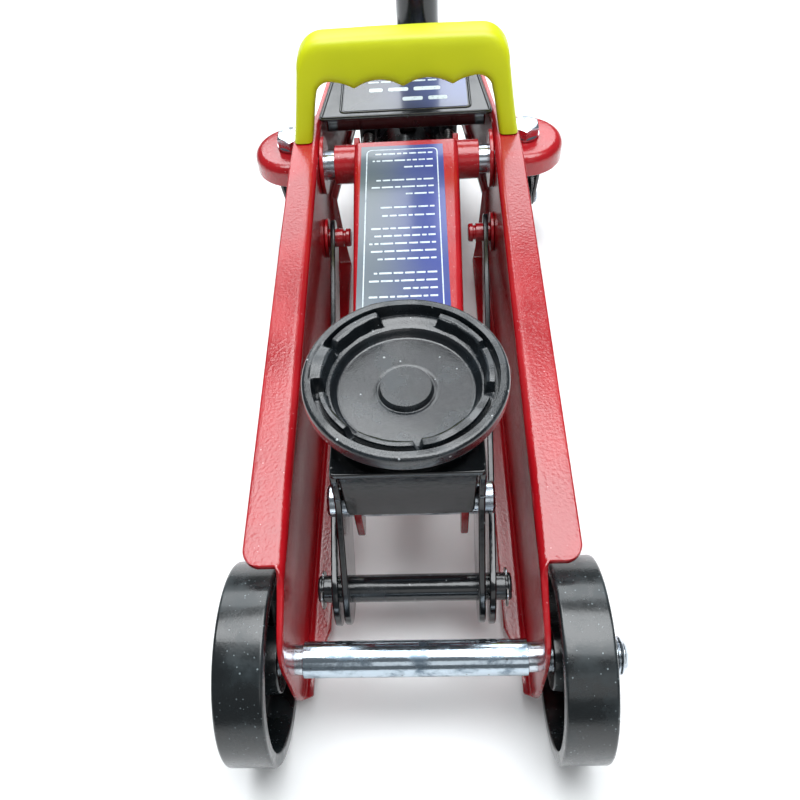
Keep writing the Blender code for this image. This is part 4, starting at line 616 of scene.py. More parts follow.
def side_plate_shape():
    """Along y, a section runs from the flange's edge over a bend, down the web and round the lip.

    The flange's front corner is a quarter circle; the web's nose reaches ahead of the flange.
    """
    front, corner_r, bend, lip_bend, edge = 0.0225, 0.008, 0.004, 0.003, 0.0009
    y = np.concatenate([edged(front, front + 2 * edge, edge, 2)[:4], front + corner_r * (1 - np.cos(
        np.linspace(0.55, pi / 2, 9))), np.linspace(0.032, 0.284, 70), np.linspace(0.2855, 0.303, 18),
        np.linspace(0.3045, 0.3145, 8), np.linspace(0.318, REAR_Y - 0.0014, 22),
        REAR_Y - 0.0004 - edge * (1 - np.cos(RIM[::-1]))])
    top = np.interp(y, (0.0225, 0.0248, 0.0305, 0.0625, 0.205, 0.262, 0.285),
                    (0.0862, 0.0862, 0.0868, 0.0897, 0.102, 0.1065, CREST_Z)) - 0.00002
    rolled = web_outer(y) + 0.0016
    flange = np.interp(y, (0.0305, 0.0625, 0.205, 0.262, 0.285, 0.289, 0.303),
                       (FLANGE_X, 0.0692, 0.068, 0.0674, 0.0665, 0.0659, 0.064))
    flange -= 0.008 - np.sqrt(np.maximum(0.0, 0.008 ** 2 - np.maximum(0.0, front + 0.008 - y) ** 2))
    away = np.clip((y - 0.300) / 0.013, 0.0, 1.0)
    flange += (rolled - flange) * away * away * (3 - 2 * away)
    rise = np.clip((y - 0.285) / 0.018, 0.0, 1.0) ** 1.6
    bottom = BOTTOM_Z + 0.042 * rise
    inner = web_outer(y) - PLATE_T
    lip = np.interp(y, (0.0248, 0.0305, 0.285, 0.303), (0.048, 0.0415, 0.0415, 0.048)) + inner - 0.0515
    fade = np.interp(y, (0.0225, 0.0248, 0.0305, 0.0425, 0.0625), (1.0, 0.66, 0.27, 0.09, 0.0))
    t = np.linspace(0.0, pi / 2, 8)
    share = np.linspace(0.0, 1.0, 30)
    reach = np.interp(share, NOSE_DOWN, NOSE_OUT)
    reach = np.convolve(np.pad(reach, 2, mode="edge"), np.ones(5) / 5, "valid")
    x_parts, z_parts, nx_parts, nz_parts, reach_parts = [], [], [], [], []

    def section(x, z, nx, nz, ahead):
        for store, value in ((x_parts, x), (z_parts, z), (nx_parts, nx), (nz_parts, nz),
                             (reach_parts, ahead)):
            store.append(np.broadcast_to(value, (len(y), np.shape(x)[1])))

    flat = (flange - inner - bend)[:, None]
    over = np.minimum(edge, 0.4 * flat)
    cross = np.concatenate([over * (1 - np.cos(RIM)), over + (flat - over) * np.linspace(0, 1, 9)[1:-1]], 1)
    section(flange[:, None] - cross, top[:, None], 0.0, 1.0, 0.0)
    section(inner[:, None] + bend * (1 - np.sin(t)), top[:, None] - bend * (1 - np.cos(t)),
            -np.sin(t), np.cos(t), reach[0] * t / t[-1])
    web_top, web_low = (top - bend)[:, None], (bottom + lip_bend)[:, None]
    middle = share[1:-1]
    section(np.broadcast_to(inner[:, None], (len(y), 28)), web_top + (web_low - web_top) * middle,
            -1.0, 0.0, reach[1:-1])
    section(inner[:, None] - lip_bend * (1 - np.cos(t)), web_low - lip_bend * np.sin(t),
            -np.cos(t), np.sin(t), reach[-1] - 0.10 * t / t[-1])
    flat = (inner - lip_bend - lip)[:, None]
    over = np.minimum(edge, 0.4 * flat)
    cross = np.concatenate([(flat - over) * np.linspace(0, 1, 6)[1:-1], flat - over * (1 - np.cos(
        RIM[::-1]))], 1)
    section(inner[:, None] - lip_bend - cross, bottom[:, None], 0.0, 1.0,
            reach[-1] - 0.10 - 0.30 * cross / flat.max())
    x, z, nx, nz, ahead = (np.concatenate(part, 1) for part in (x_parts, z_parts, nx_parts, nz_parts,
                                                                reach_parts))
    along = y[:, None] - fade[:, None] * ahead * NOSE_REACH
    return shell(np.stack([x, along, z], -1), np.stack([nx, np.zeros_like(nx), nz], -1), PLATE_T, edge)


def side_plates():
    for name, side in (("left", -1), ("right", 1)):
        shape = on_side(side_plate_shape(), side)
        piece("plate_" + name, shape, RED, FRAME_BODY, "side_plate_" + name, sharp=30)


# ------------------------------------------------------------------ front axle and wheels
def wheel_profile():
    """Rim, web and hub of a moulded wheel; height runs out of the jack. Every corner is eased."""
    rim, hub, bore = WHEEL_R - 0.0055, 0.0135, 0.0067
    corners = [(WHEEL_R, 0.010), (WHEEL_R, -0.010), (rim, -0.010), (rim - 0.0012, 0.0022),
               (hub + 0.0014, 0.0030), (hub, -0.010), (bore, -0.010), (bore, 0.010), (hub, 0.010),
               (hub + 0.0022, 0.0080), (rim - 0.0018, 0.0080), (rim, 0.010)]
    return soften(corners, [0.0014, 0.0014, 0.0009, 0.002, 0.002, 0.0008, 0.0003, 0.0003, 0.0006,
                            0.001, 0.001, 0.0006], 5)


def front_axle():
    for name, side in (("left", -1), ("right", 1)):
        hub = along_x(lathe(wheel_profile(), 160, True), 0.0, WHEEL_R, side, side * 0.067)
        piece("wheel_" + name, hub, WHEEL, "front_wheel_%s_body" % name, "front_wheel_" + name)
    half = corner("axle_spacer_tube", 1)[0]
    tube = soften([(0.0076, -half), (0.0076, half), (0.0067, half), (0.0067, -half)], 0.0003, 2)
    piece("spacer_tube", along_x(lathe(tube, 96, True), 0.0, WHEEL_R), ZINC_TUBE, FRAME_BODY,
          "axle_spacer_tube")
    end = corner("front_axle", 1)[0]
    rod = np.concatenate([[(0.0, end)], soften([(0.0050, end), (0.0063, end - 0.0012), (0.0063, -0.0773),
                                                (0.0109, -0.0773), (0.0108, -0.0783), (0.0086, -0.0793)],
                                               0.0004, 3, False), [(0.0, -0.0793)]])
    piece("axle_rod", along_x(lathe(rod, 72), 0.0, WHEEL_R), ZINC, FRAME_BODY, "front_axle")
    low, high = corner("axle_push_nut", 0)[0], corner("axle_push_nut", 1)[0]
    turns = np.linspace(low + 0.0016, high - 0.0014, 60)
    ridges = 0.0076 + 0.00016 * np.sin(2 * pi * (turns - low) / 0.0012)
    round_ = np.linspace(0.0, pi / 2, 8)[1:]
    cap = np.concatenate([[(0.0067, low), (0.0079, low), (0.0079, low + 0.0010), (0.0076, low + 0.0012)],
                          np.column_stack([ridges, turns]),
                          np.column_stack([0.0062 + 0.0014 * np.cos(round_),
                                           high - 0.0014 + 0.0014 * np.sin(round_)]) + [0.0004, 0.0]])
    piece("push_nut", along_x(lathe(cap, 64, True), 0.0, WHEEL_R), ZINC, FRAME_BODY, "axle_push_nut")


# ------------------------------------------------------------------ lift arm
def arm_line(y):
    """Height of the line between the arm's two pins."""
    return HEAD[2] + (y - HEAD[1]) * (PIVOT[2] - HEAD[2]) / (PIVOT[1] - HEAD[1])


ARM_TOP = 0.0135        # the arm's top face above the line between its pins
ARM_X_FRONT, ARM_X_REAR = 0.0256, 0.0312
LABEL_SHIFT = -0.0023   # the film lies this far to one side of the arm's middle


def arm_half(y):
    """Half the arm's width, which grows towards the main shaft."""
    return ARM_X_FRONT + (ARM_X_REAR - ARM_X_FRONT) * (y - HEAD[1]) / (PIVOT[1] - HEAD[1])


def arm_cap_shape():
    """The arm's bent top: from one cheek over a bend, across, and down to the other cheek."""
    edge, bend, leg = 0.0008, 0.0042, 0.010
    y = edged(HEAD[1] - 0.002, PIVOT[1] + 0.0020, edge, 46)
    half, top = arm_half(y)[:, None], (arm_line(y) + ARM_TOP)[:, None]
    t = np.linspace(0.0, pi / 2, 8)
    low = edged(0.0, leg, edge, 5)
    low = low[low < leg - 2 * edge]
    x = [-half + 0 * low, -half + bend * (1 - np.cos(t)), (half - bend) * np.linspace(-1, 1, 15)[1:-1]]
    z = [top - leg + low * (leg - bend) / leg, top - bend * (1 - np.sin(t)), top + np.zeros((1, 13))]
    nx = [-1 + 0 * low, -np.cos(t), np.zeros(13)]
    nz = [0 * low, np.sin(t), np.ones(13)]
    x += [-x[1][:, ::-1], -x[0][:, ::-1]]
    z += [z[1][:, ::-1], z[0][:, ::-1]]
    nx += [-nx[1][::-1], -nx[0][::-1]]
    nz += [nz[1][::-1], nz[0][::-1]]
    x = np.concatenate(x, 1)
    z = np.concatenate([np.broadcast_to(row, (len(y), row.shape[1])) for row in z], 1)
    nx, nz = (np.broadcast_to(np.concatenate(part), x.shape) for part in (nx, nz))
    face = np.stack([x, np.broadcast_to(y[:, None], x.shape), z], -1)
    return shell(face, np.stack([nx, np.zeros_like(nx), nz], -1), 0.0035, edge)


def arm_cheek(side):
    """A cheek of the arm as a slab, leaning in towards the front."""
    y0, z0 = HEAD[1], HEAD[2]
    heel = arc(PIVOT[1], PIVOT[2], 0.0155, -75, 50, 20)
    nose = [(y0 - 0.0085, z0 + 0.007), (y0 - 0.009, z0 - 0.004), (y0 - 0.007, z0 - 0.022),
            (y0 - 0.001, z0 - 0.0235), (y0 + 0.015, z0 - 0.014)]
    rear = PIVOT[1] + 0.0014
    under = [(PIVOT[1] - 0.110, arm_line(PIVOT[1] - 0.110) - 0.022),
             (PIVOT[1] - 0.030, arm_line(PIVOT[1] - 0.030) - 0.018)]
    top = [(rear, arm_line(rear) + ARM_TOP - 0.0042), (y0 - 0.003, arm_line(y0) + ARM_TOP - 0.0040)]
    outline = top + nose + under
    points, faces = facing_x(slab(soften(np.concatenate([outline, heel]), 0.004, 4), -0.0035, -0.00004,
                                  0.0007))
    points[:, 0] += arm_half(points[:, 1])
    return on_side((points, faces), side)


def lift_arm():
    body = "lift_arm_body"
    piece("arm_top", arm_cap_shape(), RED, body, "lift_arm", sharp=30)
    for name, side in (("left", -1), ("right", 1)):
        piece("arm_cheek_" + name, arm_cheek(side), RED, body)
    y, z = HEAD[1] + 0.003, HEAD[2] - 0.015
    tie = slab(soften([(-0.0245, y), (0.0245, y), (0.0245, y + 0.014), (-0.0245, y + 0.014)], 0.001), z,
               z + 0.0035, 0.0006)
    piece("arm_tie", tie, RED, body)
    bore = 0.0088
    sleeve = soften([(0.0115, -0.043), (0.0115, 0.043), (bore, 0.043), (bore, -0.043)], 0.0005, 3)
    levers = []
    for side in (-1, 1):
        lever = bar_outline((PIVOT[1], PIVOT[2]), 0.0102, (CRANK[1], CRANK[2]), 0.0108)
        levers.append(on_side(facing_x(slab(lever, 0.0155, 0.0200, 0.0008)), side))
    piece("arm_sleeve", together(along_x(lathe(sleeve, 96, True), PIVOT[1], PIVOT[2]), *levers), RED, body,
          "arm_crank")
    pin = rod_profile(0.006, 0.033, 0.0006)
    piece("crank_rod", along_x(lathe(pin, 64), CRANK[1], CRANK[2]), STEEL, body, "crank_pin")
    end = corner("bracket_pin", 1)[0]
    piece("head_pin", along_x(lathe(rod_profile(0.0074, end, 0.001), 72), HEAD[1], HEAD[2]), ZINC, body,
          "bracket_pin")
    arm_label(body)


def rod_profile(radius, end, chamfer):
    """A plain pin from one end to the other, its ends chamfered and eased."""
    half = soften([(radius, 0.0), (radius, end - chamfer), (radius - chamfer, end), (0.0, end)], 0.0003, 3,
                  False)
    return np.concatenate([half[::-1], half[1:] * [1, -1]])


def rounded_box(x0, x1, y0, y1, radius):
    return soften([(x0, y0), (x1, y0), (x1, y1), (x0, y1)], radius, 6)


def on_arm(shape, above):
    """Lays a flat shape on the arm's sloping top, a little to the left of its middle."""
    points, faces = shape
    points = points.copy()
    y = points[:, 1]
    points[:, 0] += LABEL_SHIFT
    points[:, 2] += arm_line(y) + ARM_TOP + above
    return points, faces


def bars(x0, x1, y0, y1, rows, thick, seed):
    """Plain ruled dashes in rows of uneven length, in place of print."""
    rng = np.random.default_rng(seed)
    way = np.sign(x1 - x0)
    shapes = []
    for row in range(rows):
        y = y0 + (y1 - y0) * (row + 0.5) / rows
        at, end = 0.0, abs(x1 - x0) * (rng.uniform(0.78, 1.0) if rng.random() > 0.25 else 0.45)
        while at < end:
            long = min(thick * rng.uniform(1.8, 6.0), end - at + thick)
            ends = sorted((x0 + way * at, x0 + way * (at + long)))
            shapes.append(slab(rounded_box(*ends, y - thick / 2, y + thick / 2, thick * 0.35), 0.0, 0.00003,
                               0.00001, rows=2))
            at += long + 0.8 * thick
    return together(*shapes)


def line_frame(x0, x1, y0, y1, radius, width):
    """A thin printed border with round corners: two outlines a line's width apart."""
    outer = rounded_box(x0, x1, y0, y1, radius)
    inner = rounded_box(x0 + width, x1 - width, y0 + width, y1 - width, radius - width)
    count = len(outer)
    points = np.concatenate([np.column_stack([outer, np.full(count, 0.0)]),
                             np.column_stack([outer, np.full(count, 0.00003)]),
                             np.column_stack([inner, np.full(count, 0.00003)]),
                             np.column_stack([inner, np.full(count, 0.0)])])
    return points, grid_faces(4, count, True, True)


def arm_label(body):
    """A film on the arm's top, with a border and plain bars."""
    y0, y1, half = 0.100, 0.2815, 0.0240
    film = slab(rounded_box(-half, half, y0, y1, 0.0008), 0.0, 0.00012, 0.00005, rows=2)
    piece("arm_label", on_arm(film, 0.00002), ARM_PRINT, body, sharp=20, finish=False)
    ink = [line_frame(-half + 0.0032, half - 0.0032, y0 + 0.002, y1 - 0.0032, 0.0035, 0.0006)]
    blocks = ((0.2772, 0.2597, 3), (0.2548, 0.2376, 3), (0.2332, 0.2204, 2), (0.2167, 0.1888, 5),
              (0.1844, 0.1578, 5), (0.1536, 0.1320, 4))
    for index, (start, stop, rows) in enumerate(blocks):
        ink.append(bars(half - 0.0062, -half + 0.0052, start, stop, rows, 0.0012, 20 + index))
    points, faces = on_arm(together(*ink), 0.00014)
    points = np.round(points, 7)
    piece("arm_label_ink", (points, faces), INK, body, sharp=20, finish=False)


# ------------------------------------------------------------------ saddle bracket and saddle
def bracket():
    body, front = "saddle_bracket_body", HEAD[1] - 0.0135
    foot = arc(LINK_FRONT[1], LINK_FRONT[2], 0.0160, 165, 325, 26)
    outline = np.concatenate([[(front, 0.1135), (front, 0.092)], foot,
                              [(HEAD[1] + 0.014, HEAD[2] - 0.007), (HEAD[1] + 0.024, HEAD[2] + 0.016),
                               (0.108, 0.0995), (0.108, 0.1135)]])
    walls = []
    for side in (-1, 1):
        walls.append(on_side(facing_x(slab(soften(outline, 0.005, 5), 0.0285, 0.0315, 0.0008)), side))
    top = slab(rounded_box(-0.0313, 0.0313, front + 0.0003, 0.1077, 0.002), 0.1105, 0.1134, 0.0008)
    piece("bracket_box", together(*walls, top), BLACK, body, "saddle_bracket")
    face = slab(soften([(-0.0282, 0.1125), (-0.0272, 0.0801), (0.0272, 0.0801), (0.0282, 0.1125)],
                       [0.0004, 0.0035, 0.0035, 0.0004], 6), front + 0.0009, front + 0.0034, 0.0009)
    points, faces = face
    piece("bracket_face", (points[:, [0, 2, 1]], faces), BLACK, body)
    pin = soften([(0.0062, 0.0), (0.0062, 0.0412), (0.0050, 0.0412), (0.0050, 0.0424), (0.0062, 0.0424),
                  (0.0062, 0.0433), (0.0054, 0.0440), (0.0, 0.0440)], 0.0002, 2, False)
    profile = np.concatenate([pin[::-1], pin[1:] * [1, -1]])
    piece("link_rod", along_x(lathe(profile, 72), LINK_FRONT[1], LINK_FRONT[2]), WORN_BLACK, body, "link_pin")
    for name, side in (("left", -1), ("right", 1)):
        points, faces = clip_ring(0.0060, 0.0009, 0.0414)
        turned_points = np.column_stack([points[:, 2], LINK_FRONT[1] + points[:, 1],
                                         LINK_FRONT[2] + points[:, 0]])
        piece("link_clip_" + name, on_side((turned_points, faces), side), STEEL, body)


LUGS = (  # middle angle, half width, inner and outer radius, top below the rim
    (128.0, 21.0, 0.0335, 0.0372, 0.0012), (46.0, 21.0, 0.0336, 0.0370, 0.0014),
    (6.0, 17.0, 0.0328, 0.0364, 0.0012), (-50.0, 31.0, 0.0316, 0.0360, 0.0012),
    (-105.0, 22.0, 0.0312, 0.0346, 0.0030), (-150.0, 20.0, 0.0328, 0.0360, 0.0016),
    (168.0, 16.0, 0.0334, 0.0392, 0.0006))


def saddle_shape():
    """Height over (radius, angle): boss, floor, a slope, lugs that stand on it, and the rim.

    Beyond the rim the same rows go on down the outside and back under to the stem. Slow sines
    of the angle make the rim and the lugs a little uneven, as cast.
    """
    t = np.linspace(0.0, 2 * pi, 288, endpoint=False)[None, :]
    degrees_ = np.degrees(t)
    floor_z, rim_in = 0.1215, SADDLE_R - 0.0043
    r = np.concatenate([[0.0], np.linspace(0.002, 0.0100, 5), np.linspace(0.0106, 0.0128, 7),
                        np.linspace(0.014, 0.0280, 9), np.linspace(0.0287, 0.0312, 7),
                        np.linspace(0.0315, 0.0390, 50), np.linspace(0.0395, SADDLE_R - 0.0007, 6)])[:, None]
    uneven = 0.00012 * np.sin(3 * t + 1) + 0.0001 * np.sin(7 * t) + 0.00007 * np.sin(13 * t + 2)

    def step(value, start, end):
        share = np.clip((value - start) / (end - start), 0.0, 1.0)
        return share * share * (3 - 2 * share)

    z = floor_z + 0.0025 * (1 - step(r, 0.0106, 0.0118)) + 0.0 * t
    z = z - 0.0003 * (1 - step(r, 0.0120, 0.0130)) * step(r, 0.0112, 0.0118)
    z = z + 0.0036 * step(r, 0.0286, 0.0316) + 0.0018 * step(r, 0.0310, 0.0372)
    rim = SADDLE_TOP - 0.00025 + uneven - 0.0004 * step(r, SADDLE_R - 0.0016, SADDLE_R - 0.0004)
    z = z + (rim - z) * step(r, rim_in - 0.0004, rim_in + 0.0003)
    for middle_, half, inside, outside, below in LUGS:
        away = np.abs((degrees_ - middle_ + 180) % 360 - 180)
        wavy = 0.00018 * np.sin(9 * t + middle_) + 0.00012 * np.sin(23 * t)
        mask = 1 - step(away, half - 2.2, half + 0.6)
        mask = mask * step(r, inside - 0.0005 + wavy, inside + 0.0004 + wavy)
        mask = mask * (1 - step(r, outside - 0.0003, outside + 0.0003))
        top = SADDLE_TOP - below + 2 * uneven - 0.0006 * (1 - step(r, inside, inside + 0.0016))
        z = z + (top - z) * mask
    notch = np.abs((degrees_ - 187 + 180) % 360 - 180)
    z = z - 0.0022 * (1 - step(notch, 2.5, 6.0)) * step(r, 0.033, 0.034) * (1 - step(r, 0.0374, 0.0378))
    radius = r + 0.0 * t
    foot_z = 0.1138
    outside = soften([(SADDLE_R - 0.0007, SADDLE_TOP - 0.0006), (SADDLE_R, SADDLE_TOP - 0.0016),
                      (SADDLE_R, SADDLE_TOP - 0.0066), (SADDLE_R - 0.0026, SADDLE_TOP - 0.0104),
                      (0.0365, 0.1178), (0.0342, 0.1166), (0.0335, 0.1158), (0.0335, foot_z + 0.0005),
                      (0.0329, foot_z), (0.0090, foot_z), (0.0090, 0.1075), (0.0075, 0.1075),
                      (0.0075, 0.1055), (0.0090, 0.1055), (0.0088, 0.1036), (0.0, 0.1036)], 0.0006, 3, False)
    radius = np.concatenate([radius, outside[1:, :1] + 0.0 * t])
    z = np.concatenate([z, outside[1:, 1:] + 0.0 * t])
    points = np.stack([radius * np.cos(t), radius * np.sin(t), z], -1)
    return points.reshape(-1, 3), grid_faces(len(radius), t.shape[1], False, True)


def saddle():
    piece("saddle_cup", upright(saddle_shape(), 0.0, SADDLE[1]), CAST, "saddle_body", "saddle", sharp=50,
          finish=False)
    points, faces = clip_ring(0.0078, 0.0011, 0.1058, 60)
    piece("stem_clip", (points + [0.0, SADDLE[1], 0.0], faces), STEEL, "saddle_body", "saddle_clip")


# ------------------------------------------------------------------ links, studs, shaft
def links_and_shaft():
    for name, side in (("left", -1), ("right", 1)):
        outline = bar_outline((LINK_FRONT[1], LINK_FRONT[2]), 0.0165, (LINK_REAR[1], LINK_REAR[2]), 0.011, 26)
        points, faces = facing_x(slab(outline, -0.0015, 0.0015, 0.0007))
        points[:, 0] += 0.0352 + 0.0113 * (points[:, 1] - LINK_FRONT[1]) / (LINK_REAR[1] - LINK_FRONT[1])
        piece("link_" + name, on_side((points, faces), side), BLACK, "lift_link_body_" + name,
              "lift_link_" + name)
        stud = soften([(0.0, WEB_X), (0.0050, WEB_X), (0.0056, WEB_X - 0.0006), (0.0056, 0.0512),
                       (0.0120, 0.0512), (0.0120, 0.0494), (0.0056, 0.0494), (0.0056, 0.0406),
                       (0.0044, 0.0406), (0.0044, 0.0390), (0.0056, 0.0390), (0.0056, 0.0368),
                       (0.0048, 0.0360), (0.0, 0.0360)], 0.0004, 3, False)
        piece("stud_" + name, along_x(lathe(stud, 56), LINK_REAR[1], LINK_REAR[2], side), RED, FRAME_BODY,
              "link_stud_" + name)
        low, high = 0.0489, 0.0512
        disc = soften([(0.017, low), (0.017, high), (0.0088, high), (0.0088, low)], 0.0006, 3)
        piece("disc_" + name, along_x(lathe(disc, 80, True), PIVOT[1], PIVOT[2], side), RED, FRAME_BODY,
              "pivot_disc_" + name)
    end = corner("main_shaft", 1)[0]
    piece("shaft", along_x(lathe(rod_profile(0.0085, end, 0.0014), 80), PIVOT[1], PIVOT[2]), ZINC, FRAME_BODY,
          "main_shaft")


# ------------------------------------------------------------------ power unit
def coil(y0, y1, radius, wire, turns):
    """A helix along y: the angle goes round as y goes along; the end turns lie flat."""
    s = np.linspace(0.0, 1.0, int(turns * 20))
    along = np.clip(s * 1.06 - 0.03, 0.0, 1.0)
    angle = 2 * pi * turns * s
    return sweep(np.column_stack([radius * np.cos(angle), y0 + (y1 - y0) * along, radius * np.sin(angle)]),
                 wire, 8)


def power_unit():
    low, high = corner("return_spring_right", 0), corner("return_spring_right", 1)
    for name, side in (("left", -1), ("right", 1)):
        points, faces = coil(low[1] + 0.0012, high[1] - 0.0012, 0.0036, 0.0008, 26)
        points = points + [side * 0.0285, 0.0, centre("return_spring_right")[2]]
        spring = piece("spring_" + name, (points, faces),
                       STEEL, None, "return_spring_" + name, finish=False)
        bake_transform(spring)
    z = RAM[2]
    front, rear = corner("reservoir_tank", 0)[1], corner("reservoir_tank", 1)[1]
    tank = soften([(0.023, rear), (0.023, front), (0.0174, front), (0.0174, front + 0.003),
                   (0.020, front + 0.003), (0.020, rear)], [0.0005, 0.003, 0.0005, 0.0002, 0.001, 0.0005], 5)
    piece("tank", along_y(lathe(tank, 96, True), 0.0, z), CAST, FRAME_BODY, "reservoir_tank")
    body_low, body_high = corner("ram_cylinder", 0)[1], corner("ram_cylinder", 1)[1]
    ring = soften([(0.017, body_low), (0.017, body_high), (0.0124, body_high), (0.0124, body_low)], 0.0004, 3)
    piece("cylinder", along_y(lathe(ring, 72, True), 0.0, z), STEEL, FRAME_BODY, "ram_cylinder")
    g0, g1 = corner("gland_nut", 0)[1], corner("gland_nut", 1)[1]
    gland = soften([(0.020, g0), (0.020, g1), (0.0124, g1), (0.0124, g0)], 0.0009, 4)
    piece("gland", along_y(lathe(gland, 96, True), 0.0, z), ZINC, FRAME_BODY, "gland_nut")
    r0, r1 = corner("ram_rod", 0)[1], corner("ram_rod", 1)[1]
    rod = soften([(0.0, r0), (0.011, r0), (0.012, r0 + 0.001), (0.012, r1 - 0.001), (0.011, r1), (0.0, r1)],
                 0.0004, 3, False)
    piece("ram", along_y(lathe(rod, 80), 0.0, z), STEEL, "ram_body", "ram_rod")
    top = corner("filler_plug", 1)[2]
    plug = soften([(0.0, top), (0.0052, top), (0.0064, top - 0.0012), (0.0064, top - 0.0029),
                   (0.0040, top - 0.0029), (0.0040, top - 0.0068), (0.0, top - 0.0068)], 0.0004, 3, False)
    piece("plug", upright(lathe(plug, 48), 0.0, centre("filler_plug")[1]), RUBBER, FRAME_BODY, "filler_plug")
    for name, side in (("left", -1), ("right", 1)):
        head = hex_prism(0.013, 0.0, 0.0049, 0.0064)
        shank = lathe(soften([(0.0, -0.001), (0.0040, -0.001), (0.0040, -0.0240), (0.0, -0.0240)], 0.0003, 2,
                             False), 40)
        bolt = along_x(together(head, shank), 0.379, 0.064, side, side * (web_outer(0.371) + 0.0022))
        piece("trunnion_" + name, bolt, ZINC, FRAME_BODY, "trunnion_bolt_" + name)


# ------------------------------------------------------------------ pump linkage and handle
def handle_parts():
    x, y = SOCKET[0], SOCKET[1]
    low, high, floor = 0.100, corner("handle_socket", 1)[2], 0.109
    barrel = soften([(0.0, floor), (0.0115, floor), (0.0115, high), (0.0135, high), (0.0135, low), (0.0, low)],
                    [0.0, 0.0003, 0.0005, 0.0007, 0.001, 0.0], 3, False)
    yoke_y, yoke_z = centre("yoke_bolt")[1], centre("yoke_bolt")[2]
    roll_y, roll_z = centre("pump_roller")[1], centre("pump_roller")[2]
    crown = arc(yoke_y, yoke_z, 0.0065, 180, 360, 20)
    block = np.concatenate([crown, [(yoke_y + 0.0105, low), (yoke_y + 0.0105, floor - 0.002),
                                    (yoke_y - 0.0105, floor - 0.002), (yoke_y - 0.0105, low)]])
    shapes = [upright(lathe(barrel, 80), x, y)]
    blocks, faces = facing_x(slab(soften(block, 0.002, 3), -0.013, -0.0075, 0.0006))
    shapes.append((blocks + [x, 0.0, 0.0], faces))
    blocks, faces = facing_x(slab(soften(block, 0.002, 3), 0.0075, 0.013, 0.0006))
    shapes.append((blocks + [x, 0.0, 0.0], faces))
    bridge = slab(rounded_box(x - 0.0126, x + 0.0126, yoke_y - 0.0104, yoke_y + 0.0104, 0.0015), 0.0995,
                  floor - 0.0022, 0.0005)
    shapes.append(bridge)
    for side in (-1, 1):
        cheek = facing_x(slab(bar_outline((yoke_y, yoke_z), 0.0064, (roll_y, roll_z), 0.0064), 0.0076, 0.0129,
                              0.0006))
        points, quads = on_side(cheek, side)
        shapes.append((points + [x, 0.0, 0.0], quads))
    piece("socket", together(*shapes), TUBE_BLACK, "yoke_body", "handle_socket")
    for name, node, radius, look, body in (("yoke_rod", "yoke_bolt", 0.004, ZINC, FRAME_BODY),
                                           ("roller_pin", "pump_roller", 0.003, STEEL, "yoke_body")):
        place_at, end = centre(node), size(node)[0] / 2
        rod = lathe(rod_profile(radius, end, 0.0005), 40)
        shapes = [along_x(rod, place_at[1], place_at[2], 1, place_at[0])]
        if name == "roller_pin":
            shapes.append(along_x(lathe(rod_profile(0.006, 0.0064, 0.0006), 56), place_at[1], place_at[2], 1,
                                  place_at[0]))
        piece(name, together(*shapes), look, body, node)
    p0, p1 = corner("pump_plunger", 0)[2], corner("pump_plunger", 1)[2]
    piston = soften([(0.0, p1), (0.0068, p1), (0.0068, p1 - 0.0035), (0.0050, p1 - 0.0035), (0.0050, p0),
                     (0.0, p0)], 0.0004, 3, False)
    piece("plunger", upright(lathe(piston, 48), x, roll_y), STEEL, "plunger_body", "pump_plunger")
    s0, s1 = corner("plunger_spring", 0)[2], corner("plunger_spring", 1)[2]
    points, faces = coil(s0 + 0.0007, s1 - 0.0007, 0.0059, 0.0005, 6)
    spring = piece("pump_spring", (points[:, [0, 2, 1]] + [x, roll_y, 0.0], faces), STEEL, None, "plunger_spring",
                   finish=False)
    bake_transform(spring)

    body = "handle_body"
    for name, node, outer, wall in (("lower_tube", "handle_lower_tube", 0.0111, 0.0016),
                                    ("upper_tube", "handle_upper_tube", 0.0129, 0.0015)):
        z0, z1 = corner(node, 0)[2], corner(node, 1)[2]
        tube = soften([(outer, z0), (outer, z1), (outer - wall, z1), (outer - wall, z0)], 0.0005, 3)
        piece(name, upright(lathe(tube, 96, True), x, y), TUBE_BLACK, body, node)
    g0, g1 = corner("handle_grip", 0)[2], corner("handle_grip", 1)[2]
    z = np.linspace(g0 + 0.010, g1 - 0.014, 240)
    ribs = 0.0156 + 0.0005 * np.cos(2 * pi * (z - z[0]) / 0.0045) ** 4
    outer = np.concatenate([[(0.0148, g0), (0.0162, g0 + 0.0012), (0.0162, g0 + 0.008)],
                            np.column_stack([ribs, z]),
                            [(0.0162, g1 - 0.012), (0.0162, g1 - 0.006)],
                            arc(0.0112, g1 - 0.005, 0.005, 0, 90, 8), [(0.0, g1)]])
    inner = [(0.0, g1 - 0.003), (0.0132, g1 - 0.003), (0.0132, g0)]
    profile = np.concatenate([outer, inner])
    piece("grip", upright(lathe(profile, 80, False), x, y), RUBBER, body, "handle_grip", sharp=55)
    at = centre("snap_button")
    b0 = corner("snap_button", 0)[1]
    button = soften([(0.0, 0.0), (0.0018, 0.0), (0.0029, 0.0014), (0.0029, 0.0072), (0.0, 0.0072)], 0.0006, 4,
                    False)
    points, faces = lathe(button, 40)
    piece("button", (np.column_stack([at[0] + points[:, 0], b0 + points[:, 2], at[2] + points[:, 1]]), faces),
          ZINC, "snap_button_body", "snap_button")


